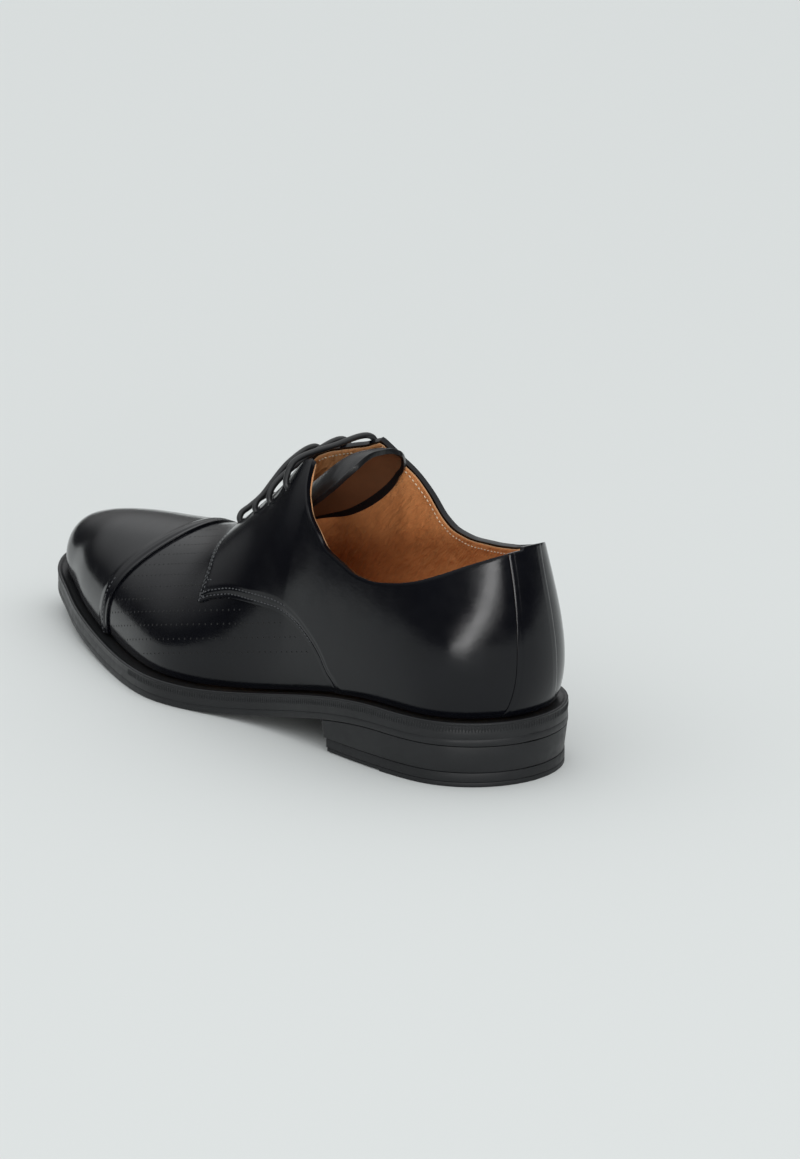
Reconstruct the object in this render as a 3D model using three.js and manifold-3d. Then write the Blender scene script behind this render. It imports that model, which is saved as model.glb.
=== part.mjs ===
// A black leather lace-up derby shoe for the left foot, standing empty on its sole.
// Millimetres. +X points to the toe, +Y to the outer side of the foot, +Z up.
// The origin is on the floor under the middle of the heel.

import * as THREE from 'three';
import Module from 'manifold-3d';
import { mergeVertices } from 'three/addons/utils/BufferGeometryUtils.js';

const wasm = await Module();
wasm.setup();

// Overall sizes
const LENGTH = 305; // outsole, from the back of the heel to the tip of the toe
const BALL_WIDTH = 100; // outsole across the ball of the foot
const HEEL_WIDTH = 75; // outsole across the heel
const HEEL_LIFT = 15.8; // underside of the outsole above the floor, at the heel
const TOE_SPRING = 12; // underside of the outsole above the floor, at the toe
const INSTEP_RISE = 88; // instep above the bed of the sole, at the front of the ankle
const COLLAR_RISE = 62.5; // back of the collar above the bed
const HEEL_POINT = 36; // from the back of the heel to the origin

// Sole layers
const OUTSOLE = 3.0;
const MIDSOLE = 3.4;
const WELT = 2.4;
const WELT_SHELF = 4.3; // welt that shows outside the upper
const WELT_BAND = 13; // width of the welt ring
const MIDSOLE_STEP = 0.5; // how far the midsole's side is set back
const OUTSOLE_BEVEL = 1.2; // chamfer along the outsole's lower edge
const TOP_PIECE = 5.4; // rubber under the heel
const HEEL_LENGTH = 78; // from the back of the heel to its front face
const HEEL_SLOPE = 1.5; // how far the foot of that face leans back
const HEEL_TAPER = 1.2; // how far the sides lean in
const INSOLE = 3.0;

// Upper layers
const LINING_WALL = 1.4; // vamp and lining
const LEATHER = 1.2; // toe cap and quarters laid over it
const STRAP_LEATHER = 1.7; // back strap
const TONGUE_WALL = 2.0;

// Facings, tongue and laces
const THROAT_GAP = 7; // from the crest to either facing at the throat
const ANKLE_GAP = { outer: 19, inner: 14.5 }; // and at the top
const THROAT_ROUND = 5; // length over which the gap closes at the throat
const EYELET_INSET = 5.6; // eyelet from the facing's edge
const EYELET_RADIUS = 1.6;
const LACE_RADIUS = 1.2;
const TONGUE_OUTER = 24; // from the crest to the tongue's edge under the outer facing
const TONGUE_INNER = 18.5; // and under the inner facing
const TONGUE_FLARE = 3; // how much wider it is at its free end
const TONGUE_TUCK = 9; // tongue that lies under the vamp
const TONGUE_BACK = 18; // how far its free end reaches back
const TONGUE_CLIMB = 5; // and up
const TONGUE_SAG = 8; // how far it sinks below the tops of the facings

// Clearances
const GAP = 0.3; // between pieces that touch
const LAY_GAP = 0.5; // between leathers laid over each other on the curved last
const LACE_ROOM = 1.1; // tongue below the facings

// Shape of the last. Each row is a section from the back of the heel to the toe.
//   x, outer, inner: outsole edge, as shares of LENGTH and of the row's width
//   topX, topY, topZ: where the section ends on the crest, as shares of LENGTH, BALL_WIDTH and INSTEP_RISE; inTopZ: its inner half
//   half, inHalf: from there to the open top's outer and inner edge, as shares of BALL_WIDTH
//   foot, flare: handle at the welt, up and outward; reach, drop: handle at the top, outward and down
const H = HEEL_WIDTH;
const B = BALL_WIDTH;
const LAST = [
  { x: 0.0000, width: H, outer: 0.000, inner: 0.000, topX: 0.0475, topY: 0.000, topZ: 0.960, inTopZ: 0.960, half: 0.000, inHalf: 0.000, foot: 0.23, flare: 0.098, reach: 0.060, drop: 0.386 },
  { x: 0.0085, width: H, outer: 0.180, inner: 0.180, topX: 0.0560, topY: 0.000, topZ: 0.960, inTopZ: 0.960, half: 0.085, inHalf: 0.085, foot: 0.23, flare: 0.094, reach: 0.060, drop: 0.386 },
  { x: 0.0330, width: H, outer: 0.333, inner: 0.333, topX: 0.0790, topY: 0.000, topZ: 0.960, inTopZ: 0.960, half: 0.154, inHalf: 0.154, foot: 0.24, flare: 0.084, reach: 0.058, drop: 0.386 },
  { x: 0.0710, width: H, outer: 0.440, inner: 0.434, topX: 0.1120, topY: 0.000, topZ: 0.960, inTopZ: 0.960, half: 0.192, inHalf: 0.192, foot: 0.25, flare: 0.072, reach: 0.056, drop: 0.386 },
  { x: 0.1250, width: H, outer: 0.491, inner: 0.480, topX: 0.1550, topY: 0.000, topZ: 0.962, inTopZ: 0.962, half: 0.208, inHalf: 0.208, foot: 0.26, flare: 0.064, reach: 0.054, drop: 0.380 },
  { x: 0.1870, width: H, outer: 0.507, inner: 0.490, topX: 0.2050, topY: 0.000, topZ: 0.966, inTopZ: 0.966, half: 0.211, inHalf: 0.211, foot: 0.26, flare: 0.058, reach: 0.056, drop: 0.370 },
  { x: 0.2560, width: B, outer: 0.380, inner: 0.345, topX: 0.2620, topY: -0.010, topZ: 1.000, inTopZ: 1.000, half: 0.203, inHalf: 0.225, foot: 0.27, flare: 0.054, reach: 0.066, drop: 0.350 },
  { x: 0.3210, width: B, outer: 0.376, inner: 0.315, topX: 0.3200, topY: -0.045, topZ: 1.042, inTopZ: 1.042, half: 0.170, inHalf: 0.195, foot: 0.28, flare: 0.052, reach: 0.110, drop: 0.240 },
  { x: 0.3870, width: B, outer: 0.384, inner: 0.310, topX: 0.3840, topY: -0.085, topZ: 1.095, inTopZ: 1.105, half: 0.000, inHalf: 0.000, foot: 0.30, flare: 0.052, reach: 0.255, drop: 0.020 },
  { x: 0.4460, width: B, outer: 0.415, inner: 0.340, topX: 0.4430, topY: -0.070, topZ: 0.930, inTopZ: 1.068, half: 0.000, inHalf: 0.000, foot: 0.28, flare: 0.055, reach: 0.240, drop: 0.000 },
  { x: 0.5020, width: B, outer: 0.460, inner: 0.390, topX: 0.4990, topY: -0.060, topZ: 0.765, inTopZ: 0.920, half: 0.000, inHalf: 0.000, foot: 0.26, flare: 0.058, reach: 0.235, drop: 0.000 },
  { x: 0.5570, width: B, outer: 0.482, inner: 0.445, topX: 0.5550, topY: -0.060, topZ: 0.625, inTopZ: 0.625, half: 0.000, inHalf: 0.000, foot: 0.24, flare: 0.058, reach: 0.225, drop: 0.000 },
  { x: 0.6130, width: B, outer: 0.458, inner: 0.490, topX: 0.6110, topY: -0.068, topZ: 0.550, inTopZ: 0.550, half: 0.000, inHalf: 0.000, foot: 0.22, flare: 0.056, reach: 0.220, drop: 0.000 },
  { x: 0.6720, width: B, outer: 0.405, inner: 0.515, topX: 0.6700, topY: -0.080, topZ: 0.504, inTopZ: 0.504, half: 0.000, inHalf: 0.000, foot: 0.21, flare: 0.052, reach: 0.218, drop: 0.000 },
  { x: 0.7340, width: B, outer: 0.340, inner: 0.512, topX: 0.7290, topY: -0.090, topZ: 0.463, inTopZ: 0.463, half: 0.000, inHalf: 0.000, foot: 0.21, flare: 0.048, reach: 0.208, drop: 0.000 },
  { x: 0.7970, width: B, outer: 0.268, inner: 0.492, topX: 0.7870, topY: -0.108, topZ: 0.420, inTopZ: 0.420, half: 0.000, inHalf: 0.000, foot: 0.20, flare: 0.044, reach: 0.190, drop: 0.000 },
  { x: 0.8560, width: B, outer: 0.192, inner: 0.458, topX: 0.8400, topY: -0.125, topZ: 0.373, inTopZ: 0.373, half: 0.000, inHalf: 0.000, foot: 0.18, flare: 0.042, reach: 0.170, drop: 0.000 },
  { x: 0.9080, width: B, outer: 0.114, inner: 0.414, topX: 0.8820, topY: -0.140, topZ: 0.327, inTopZ: 0.327, half: 0.000, inHalf: 0.000, foot: 0.155, flare: 0.040, reach: 0.125, drop: 0.000 },
  { x: 0.9540, width: B, outer: 0.042, inner: 0.350, topX: 0.9110, topY: -0.150, topZ: 0.288, inTopZ: 0.288, half: 0.000, inHalf: 0.000, foot: 0.140, flare: 0.038, reach: 0.100, drop: 0.000 },
  { x: 0.9850, width: B, outer: -0.048, inner: 0.268, topX: 0.9250, topY: -0.157, topZ: 0.266, inTopZ: 0.266, half: 0.000, inHalf: 0.000, foot: 0.135, flare: 0.036, reach: 0.100, drop: 0.000 },
  { x: 1.0000, width: B, outer: -0.160, inner: 0.160, topX: 0.9300, topY: -0.160, topZ: 0.258, inTopZ: 0.258, half: 0.000, inHalf: 0.000, foot: 0.130, flare: 0.036, reach: 0.100, drop: 0.000 },
];
// Collar seen from the side: along as a share of LENGTH; outer and inner edge above the bed as shares of COLLAR_RISE
const COLLAR = [
  { along: -0.050, outer: 1.080, inner: 1.080 }, { along: 0.000, outer: 1.060, inner: 1.060 }, { along: 0.016, outer: 1.020, inner: 1.025 },
  { along: 0.036, outer: 0.962, inner: 0.985 }, { along: 0.059, outer: 0.902, inner: 0.940 }, { along: 0.085, outer: 0.836, inner: 0.890 },
  { along: 0.115, outer: 0.776, inner: 0.840 }, { along: 0.148, outer: 0.735, inner: 0.800 }, { along: 0.180, outer: 0.716, inner: 0.785 },
  { along: 0.213, outer: 0.735, inner: 0.790 }, { along: 0.254, outer: 0.811, inner: 0.834 }, { along: 0.285, outer: 0.885, inner: 0.920 },
  { along: 0.311, outer: 0.986, inner: 1.060 }, { along: 0.341, outer: 1.090, inner: 1.235 }, { along: 0.361, outer: 1.216, inner: 1.330 },
  { along: 0.374, outer: 1.376, inner: 1.390 }, { along: 0.385, outer: 1.550, inner: 1.450 }, { along: 0.410, outer: 2.000, inner: 1.600 },
];

// Lower and front edge of the quarters seen from the side: shares of LENGTH and, above the bed, of INSTEP_RISE
const QUARTER = [
  { along: 0.236, up: -0.200 }, { along: 0.249, up: 0.020 }, { along: 0.264, up: 0.085 }, { along: 0.276, up: 0.150 },
  { along: 0.295, up: 0.216 }, { along: 0.334, up: 0.308 }, { along: 0.374, up: 0.360 }, { along: 0.416, up: 0.383 },
  { along: 0.456, up: 0.395 }, { along: 0.490, up: 0.376 }, { along: 0.5115, up: 0.350 }, { along: 0.5150, up: 0.400 },
  { along: 0.523, up: 0.473 }, { along: 0.541, up: 0.530 }, { along: 0.557, up: 0.610 }, { along: 0.575, up: 0.720 },
];

// Back strap seen from behind: height above the bed as a share of COLLAR_RISE; outer and inner edge as shares of HEEL_WIDTH
const STRAP = [
  { up: -0.10, outer: 0.165, inner: 0.215 }, { up: 0.00, outer: 0.145, inner: 0.200 }, { up: 0.10, outer: 0.122, inner: 0.180 },
  { up: 0.25, outer: 0.104, inner: 0.165 }, { up: 0.45, outer: 0.092, inner: 0.155 }, { up: 0.65, outer: 0.080, inner: 0.145 },
  { up: 0.85, outer: 0.074, inner: 0.137 }, { up: 1.20, outer: 0.074, inner: 0.137 },
];

const FACING_TOP = 0.385; // ankle end of the facings, as a share of LENGTH
const THROAT = 0.557; // where the gap between them ends
const CAP_SEAM = { foot: 0.730, crest: 0.660 }; // toe cap seam at the welt and on the crest
const EYELETS = [
  { along: 0.530, arch: 3 }, { along: 0.484, arch: 3 }, { along: 0.445, arch: 2 }, { along: 0.405, arch: 1 },
]; // places of the eyelet pairs as shares of LENGTH, and how many mm their bar of lace arches
const ARCH = { from: 0.148, to: 0.508 }; // where the underside leaves the heel and where it meets the floor
const TREAD_END = 0.64; // where the toe spring starts
const SPRING_CURVE = 1.9;

// Mesh steps
const UP = 8; // from the welt to the collar or the crest
const STRAP_STEPS = 3; // from the middle of the strap to its edge
const TONGUE_STEPS = 5; // from the middle of the tongue to its edge
const LACE_STEPS = 12;

const clamp = THREE.MathUtils.clamp;
const lerp = THREE.MathUtils.lerp;
const smoothstep = THREE.MathUtils.smoothstep;

// Heights of the sole along the shoe
const atLength = (share) => share * LENGTH - HEEL_POINT;
const shareOf = (x) => (x + HEEL_POINT) / LENGTH;
const underside = (x) => {
  const share = shareOf(x);
  const arch = HEEL_LIFT * (1 - smoothstep(share, ARCH.from, ARCH.to));
  return arch + TOE_SPRING * clamp((share - TREAD_END) / (1 - TREAD_END), 0, 1.1) ** SPRING_CURVE;
};
const midsoleFloor = (x) => underside(x) + OUTSOLE + GAP;
const weltFloor = (x) => midsoleFloor(x) + MIDSOLE + GAP;
const bed = (x) => weltFloor(x) + WELT;

// A smooth curve through the rows of a table, with no overshoot
function curveOf(rows, alongKey, valueKey) {
  const xs = rows.map((row) => row[alongKey]);
  const ys = rows.map((row) => row[valueKey]);
  const steps = xs.slice(1).map((x, i) => (ys[i + 1] - ys[i]) / (x - xs[i]));
  const slopes = xs.map((_, i) => {
    const before = steps[i - 1];
    const after = steps[i];
    if (before === undefined || after === undefined) return before ?? after;
    return before * after <= 0 ? 0 : 2 * before * after / (before + after);
  });
  return (at) => {
    const x = clamp(at, xs[0], xs[xs.length - 1]);
    let i = xs.length - 2;
    while (i > 0 && xs[i] > x) i--;
    const width = xs[i + 1] - xs[i];
    const s = (x - xs[i]) / width;
    return ys[i] * (1 + 2 * s) * (1 - s) ** 2 + ys[i + 1] * s * s * (3 - 2 * s)
      + width * s * (1 - s) * (slopes[i] * (1 - s) - slopes[i + 1] * s);
  };
}
const collarCurve = { 1: curveOf(COLLAR, 'along', 'outer'), '-1': curveOf(COLLAR, 'along', 'inner') };
const quarterCurve = curveOf(QUARTER, 'along', 'up');
const strapCurve = { 1: curveOf(STRAP, 'up', 'outer'), '-1': curveOf(STRAP, 'up', 'inner') };

// A smooth closed curve of one value through the rows, outer side at +u and inner side at -u
function loopSpline(knots, values) {
  const n = knots.length;
  const step = knots.map((k, i) => (i + 1 < n ? knots[i + 1] - k : knots[0] + 2 - k));
  const rise = values.map((v, i) => (values[(i + 1) % n] - v) / step[i]);
  const rows = knots.map((_, i) => {
    const before = (i + n - 1) % n;
    const row = new Float64Array(n + 1);
    row[before] += step[before];
    row[i] += 2 * (step[before] + step[i]);
    row[(i + 1) % n] += step[i];
    row[n] = 6 * (rise[i] - rise[before]);
    return row;
  });
  for (let i = 0; i < n; i++) {
    for (let k = 0; k < n; k++) {
      if (k === i) continue;
      const share = rows[k][i] / rows[i][i];
      if (share) for (let j = i; j <= n; j++) rows[k][j] -= share * rows[i][j];
    }
  }
  const bend = rows.map((row, i) => row[n] / row[i]);
  return (at) => {
    const u = at < knots[0] ? at + 2 : at;
    let i = n - 1;
    while (knots[i] > u) i--;
    const next = (i + 1) % n;
    const b = (u - knots[i]) / step[i];
    const a = 1 - b;
    const curve = ((a ** 3 - a) * bend[i] + (b ** 3 - b) * bend[next]) * step[i] ** 2 / 6;
    return a * values[i] + b * values[next] + curve;
  };
}

// Knots: how far along the outline each row lies, 0 at the heel back and 1 at the toe tip
const halfWidth = (row) => row.width * (row.outer + row.inner) / 2;
const KNOTS = [0];
LAST.slice(1).forEach((row, i) => {
  const before = LAST[i];
  KNOTS.push(KNOTS[i] + Math.hypot((row.x - before.x) * LENGTH, halfWidth(row) - halfWidth(before)));
});
const REACH = KNOTS[KNOTS.length - 1];
const ROWS = LAST.map((row, i) => ({ ...row, u: KNOTS[i] / REACH }));
const INNER_ROWS = ROWS.slice(1, -1).reverse();
const LOOP = [...INNER_ROWS.map((row) => -row.u), ...ROWS.map((row) => row.u)];
const loopOf = (outer, inner = outer) => loopSpline(LOOP, [...INNER_ROWS.map(inner), ...ROWS.map(outer)]);

const edgeX = loopOf((r) => atLength(r.x));
const edgeY = loopOf((r) => r.outer * r.width, (r) => -r.inner * r.width);
const topX = loopOf((r) => atLength(r.topX));
const topY = loopOf((r) => r.topY * BALL_WIDTH);
const topHalf = loopOf((r) => r.half * BALL_WIDTH, (r) => r.inHalf * BALL_WIDTH);
const outerRise = loopOf((r) => r.topZ * INSTEP_RISE);
const innerRise = loopOf((r) => r.inTopZ * INSTEP_RISE);
const footHandle = loopOf((r) => r.foot * INSTEP_RISE);
const flareHandle = loopOf((r) => r.flare * BALL_WIDTH);
const reachHandle = loopOf((r) => r.reach * BALL_WIDTH);
const dropHandle = loopOf((r) => r.drop * INSTEP_RISE);
const CLOSED = ROWS.find((row) => row.half === 0 && row.u > 0).u; // from here to the toe the section is closed
const U_MEET = ROWS.find((row) => row.x >= THROAT).u; // from here on both halves meet at one height

const wrap = (u) => (u > 1 ? u - 2 : u < -1 ? u + 2 : u);

// Point of the outsole's outline, moved inward
function outline(u, inset = 0) {
  const d = 1e-3;
  const dx = edgeX(wrap(u + d)) - edgeX(wrap(u - d));
  const dy = edgeY(wrap(u + d)) - edgeY(wrap(u - d));
  const size = Math.hypot(dx, dy);
  const out = { x: dy / size, y: -dx / size };
  if (out.x * (edgeX(u) - atLength(0.4)) + out.y * edgeY(u) < 0) {
    out.x *= -1;
    out.y *= -1;
  }
  return { x: edgeX(u) - out.x * inset, y: edgeY(u) - out.y * inset, out };
}

// Height of the crest over the bed; the inner half stands higher where the facings part
function topRise(u) {
  const w = Math.abs(u);
  return u < 0 ? lerp(innerRise(w), outerRise(w), smoothstep(w, U_MEET - 0.06, U_MEET)) : outerRise(w);
}

// Steepness of the crest
function crestSlope(u) {
  const side = Math.sign(u) || 1;
  const before = side * Math.max(Math.abs(u) - 0.01, 0);
  const after = side * Math.min(Math.abs(u) + 0.01, 1);
  const rise = bed(topX(after)) + topRise(after) - bed(topX(before)) - topRise(before);
  return rise / (topX(after) - topX(before));
}

// The last's surface: u runs round the shoe, t from the welt up to the crest or the open ankle
function lastPoint(u, t) {
  const foot = outline(u, WELT_SHELF + LEATHER + GAP);
  const { out } = foot;
  const w = Math.abs(u);
  const x = topX(w);
  const closed = w >= CLOSED;
  const half = closed ? 0 : topHalf(u);
  const fall = closed ? -crestSlope(u) * out.x * reachHandle(w) : dropHandle(w);
  const p0 = new THREE.Vector3(foot.x, foot.y, bed(foot.x) + GAP);
  const p3 = new THREE.Vector3(x, topY(w) + Math.sign(u) * half, bed(x) + topRise(u));
  const p1 = new THREE.Vector3(p0.x + out.x * flareHandle(w), p0.y + out.y * flareHandle(w), p0.z + footHandle(w));
  const p2 = new THREE.Vector3(p3.x + out.x * reachHandle(w), p3.y + out.y * reachHandle(w), p3.z - fall);
  return new THREE.CubicBezierCurve3(p0, p1, p2, p3).getPoint(t);
}

function lastNormal(u, t) {
  if (t > 0.999 && Math.abs(u) >= CLOSED) return new THREE.Vector3(-crestSlope(u), 0, 1).normalize();
  const d = 2e-3;
  const along = lastPoint(wrap(u + d), t).sub(lastPoint(wrap(u - d), t));
  const up = lastPoint(u, Math.min(t + d, 1)).sub(lastPoint(u, Math.max(t - d, 0)));
  const normal = up.cross(along);
  normal.z *= smoothstep(t, 0, 0.06);
  return normal.normalize();
}

// The same point on a layer outside or inside the surface, its lower edge kept on the bed
function skin(u, t, offset) {
  const p = lastPoint(u, t);
  const floor = bed(p.x);
  p.addScaledVector(lastNormal(u, t), offset);
  p.z += (bed(p.x) - floor) * (1 - smoothstep(t, 0, 0.25));
  return p;
}

// Where a falling or rising function passes zero
function root(f, low, high) {
  const start = f(low);
  if (start * f(high) > 0) return Math.abs(start) < Math.abs(f(high)) ? low : high;
  let [a, b] = [low, high];
  for (let i = 0; i < 40; i++) {
    const mid = (a + b) / 2;
    if (f(mid) * start > 0) a = mid;
    else b = mid;
  }
  return (a + b) / 2;
}
const uAt = (share) => root((u) => edgeX(u) - atLength(share), 0, 1);
const uTop = (share) => root((u) => topX(u) - atLength(share), 0, 1);
const U_ANKLE = uAt(0.3);
const U_FACING = uTop(FACING_TOP);
const U_THROAT = uTop(THROAT);

const sideOffset = (p, u) => Math.abs(p.y - topY(Math.abs(u)));
const facingGap = (x, u) => {
  const share = clamp((shareOf(x) - FACING_TOP) / (THROAT - FACING_TOP), 0, 1);
  const end = clamp((atLength(THROAT) - x) / THROAT_ROUND, 0, 1);
  return lerp(u > 0 ? ANKLE_GAP.outer : ANKLE_GAP.inner, THROAT_GAP, share) * Math.sqrt(1 - (1 - end) ** 2);
};
const overCollar = (p, side) => p.z - bed(p.x) - collarCurve[side](shareOf(p.x)) * COLLAR_RISE;
const overQuarter = (p) => p.z - bed(p.x) - quarterCurve(shareOf(p.x)) * INSTEP_RISE;

// The upper's top edge on each section: collar, then facing, then the crest
function topEdge(u) {
  const w = Math.abs(u);
  if (w >= U_THROAT) return 1;
  const collar = root((t) => overCollar(lastPoint(u, t), u < 0 ? -1 : 1), 0.2, 1);
  if (w < U_ANKLE) return collar;
  const facing = root((t) => { const p = lastPoint(u, t); return sideOffset(p, u) - facingGap(p.x, u); }, 0.4, 1);
  return Math.min(facing, collar);
}
const quarterFoot = (u) => (overQuarter(lastPoint(u, 0)) > 0 ? 0 : root((t) => overQuarter(lastPoint(u, t)), 0, topEdge(u)));
const strapHalf = (p, side) => strapCurve[side]((p.z - bed(p.x)) / COLLAR_RISE) * HEEL_WIDTH;
const strapEdge = (side, t, clear = 0) => root((w) => { const p = lastPoint(side * w, t); return Math.abs(p.y) - strapHalf(p, side) - clear; }, 0, 0.2);
const capSeam = (side, t) => root((w) => lastPoint(side * w, t).x - atLength(lerp(CAP_SEAM.foot, CAP_SEAM.crest, smoothstep(t, 0.2, 1))), 0.4, 0.95);

// Sections around half the shoe, closer together where the edges turn
const spread = (from, to, count) => Array.from({ length: count }, (_, i) => lerp(from, to, i / count));
const HALF_STATIONS = [
  ...spread(0, uAt(0.187), 8), ...spread(uAt(0.187), uAt(0.247), 2), ...spread(uAt(0.247), uAt(0.285), 4),
  ...spread(uAt(0.285), U_FACING, 6), ...spread(U_FACING, uAt(0.5), 5), ...spread(uAt(0.5), U_THROAT, 5),
  ...spread(U_THROAT, 0.8, 4), ...spread(0.8, 1, 9), 1,
];
const STATIONS = [...HALF_STATIONS.slice(1, -1).map((u) => -u).reverse(), ...HALF_STATIONS];

// A closed body from triangles of points that hold one place on each of its two faces
function thicken(points, triangles) {
  const count = points.length;
  const place = points.flatMap((p) => p.outer.toArray()).concat(points.flatMap((p) => p.inner.toArray()));
  const index = [];
  const edges = new Set(triangles.flatMap(([a, b, c]) => [`${a} ${b}`, `${b} ${c}`, `${c} ${a}`]));
  for (const [a, b, c] of triangles) index.push(a, b, c, c + count, b + count, a + count);
  for (const edge of edges) {
    const [a, b] = edge.split(' ').map(Number);
    if (!edges.has(`${b} ${a}`)) index.push(b, a, a + count, b, a + count, b + count);
  }
  return solid(place, index);
}

function solid(place, index) {
  const geometry = new THREE.BufferGeometry();
  geometry.setAttribute('position', new THREE.Float32BufferAttribute(place, 3));
  geometry.setIndex(index);
  return geometry;
}

// Triangles between neighbouring columns of a grid of point numbers; the two may meet at a shared point
function weave(columns, closed = false) {
  const triangles = [];
  const last = closed ? columns.length : columns.length - 1;
  for (let i = 0; i < last; i++) {
    const here = columns[i];
    const next = columns[(i + 1) % columns.length];
    for (let j = 0; j + 1 < here.length; j++) {
      triangles.push([here[j], here[j + 1], next[j + 1]], [here[j], next[j + 1], next[j]]);
    }
  }
  return triangles.filter(([a, b, c]) => a !== b && b !== c && c !== a);
}

// A sheet on the last between two offsets; place(i, j) gives u and t, share(i, j) names points that meet
function sheet(columnCount, rowCount, place, low, high, { closed = false, name = () => null } = {}) {
  const points = [];
  const named = new Map();
  const columns = Array.from({ length: columnCount }, (_, i) => Array.from({ length: rowCount }, (_, j) => {
    const key = name(i, j);
    if (key !== null && named.has(key)) return named.get(key);
    const { u, t } = place(i, j);
    points.push({ outer: skin(u, t, high), inner: skin(u, t, low) });
    if (key !== null) named.set(key, points.length - 1);
    return points.length - 1;
  }));
  return thicken(points, weave(columns, closed));
}

function upperSheet() {
  const place = (i, j) => ({ u: STATIONS[i], t: topEdge(STATIONS[i]) * j / UP });
  const name = (i, j) => (j === UP && Math.abs(STATIONS[i]) >= U_THROAT ? Math.abs(STATIONS[i]).toFixed(6) : null);
  return sheet(STATIONS.length, UP + 1, place, -LINING_WALL, 0, { closed: true, name });
}

// Stations from one edge on: the edge's bend fades out over the stations beside it
const fadeIn = (station, edge, start, reach) => station + (edge - start) * (1 - smoothstep(station, start, start + reach));

function quarterSheet(side) {
  const start = strapEdge(side, 0.5, GAP);
  const behind = [start, ...HALF_STATIONS.filter((u) => u > start + 0.01 && u < U_THROAT)];
  const stations = side > 0 ? behind : behind.reverse();
  const place = (i, j) => {
    let t = 0.5;
    let u = 0;
    for (let pass = 0; pass < 4; pass++) {
      u = side * fadeIn(stations[i], strapEdge(side, t, GAP), start, 0.15);
      t = lerp(quarterFoot(u), topEdge(u), j / UP);
    }
    return { u, t };
  };
  return sheet(stations.length, UP + 1, place, LAY_GAP, LAY_GAP + LEATHER);
}

function strapSheet() {
  const place = (i, j) => {
    const share = i / STRAP_STEPS - 1;
    let t = 0.5;
    let u = 0;
    for (let pass = 0; pass < 4; pass++) {
      u = share * strapEdge(Math.sign(share) || 1, t);
      t = topEdge(u) * j / UP;
    }
    return { u, t };
  };
  return sheet(2 * STRAP_STEPS + 1, UP + 1, place, LAY_GAP, LAY_GAP + STRAP_LEATHER);
}

function capSheet() {
  const start = capSeam(1, 0);
  const half = [start, ...HALF_STATIONS.filter((u) => u > start + 0.01)];
  const stations = [...half, ...half.slice(0, -1).map((u) => -u).reverse()];
  const place = (i, j) => {
    const side = Math.sign(stations[i]);
    const t = j / UP;
    return { u: side * fadeIn(Math.abs(stations[i]), capSeam(side, t), start, 0.12), t };
  };
  const name = (i, j) => (j === UP ? Math.abs(stations[i]) : null);
  return sheet(stations.length, UP + 1, place, LAY_GAP, LAY_GAP + LEATHER, { name });
}

// Eyelets: each is a hole square to the facing
function eyeletAt(side, share) {
  const x = atLength(share);
  const tAt = (u) => root((t) => { const p = lastPoint(u, t); return sideOffset(p, u) - facingGap(p.x, u) - EYELET_INSET; }, 0.3, 1);
  const w = root((v) => lastPoint(side * v, tAt(side * v)).x - x, 0.3, 0.8);
  const u = side * w;
  return { u, t: tAt(u), place: lastPoint(u, tAt(u)), normal: lastNormal(u, tAt(u)) };
}
const EYELET_PLACES = EYELETS.flatMap(({ along }) => [1, -1].map((side) => eyeletAt(side, along)));

function toManifold(geometry) {
  const bare = geometry.clone();
  bare.deleteAttribute('normal');
  bare.deleteAttribute('uv');
  const merged = mergeVertices(bare, 1e-5);
  return new wasm.Manifold(new wasm.Mesh({
    numProp: 3,
    vertProperties: new Float32Array(merged.attributes.position.array),
    triVerts: new Uint32Array(merged.index.array),
  }));
}

function fromManifold(body) {
  const { vertProperties, triVerts } = body.getMesh();
  return solid(Array.from(vertProperties), Array.from(triVerts));
}

function punch(geometry, side) {
  let body = toManifold(geometry);
  EYELET_PLACES.filter(({ u }) => side === 0 || Math.sign(u) === side).forEach(({ place, normal }) => {
    const drill = new THREE.CylinderGeometry(EYELET_RADIUS, EYELET_RADIUS, 4 * (LINING_WALL + LEATHER), 12);
    drill.applyQuaternion(new THREE.Quaternion().setFromUnitVectors(new THREE.Vector3(0, 1, 0), normal));
    drill.translate(place.x, place.y, place.z);
    body = body.subtract(toManifold(drill));
  });
  return fromManifold(body);
}

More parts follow.
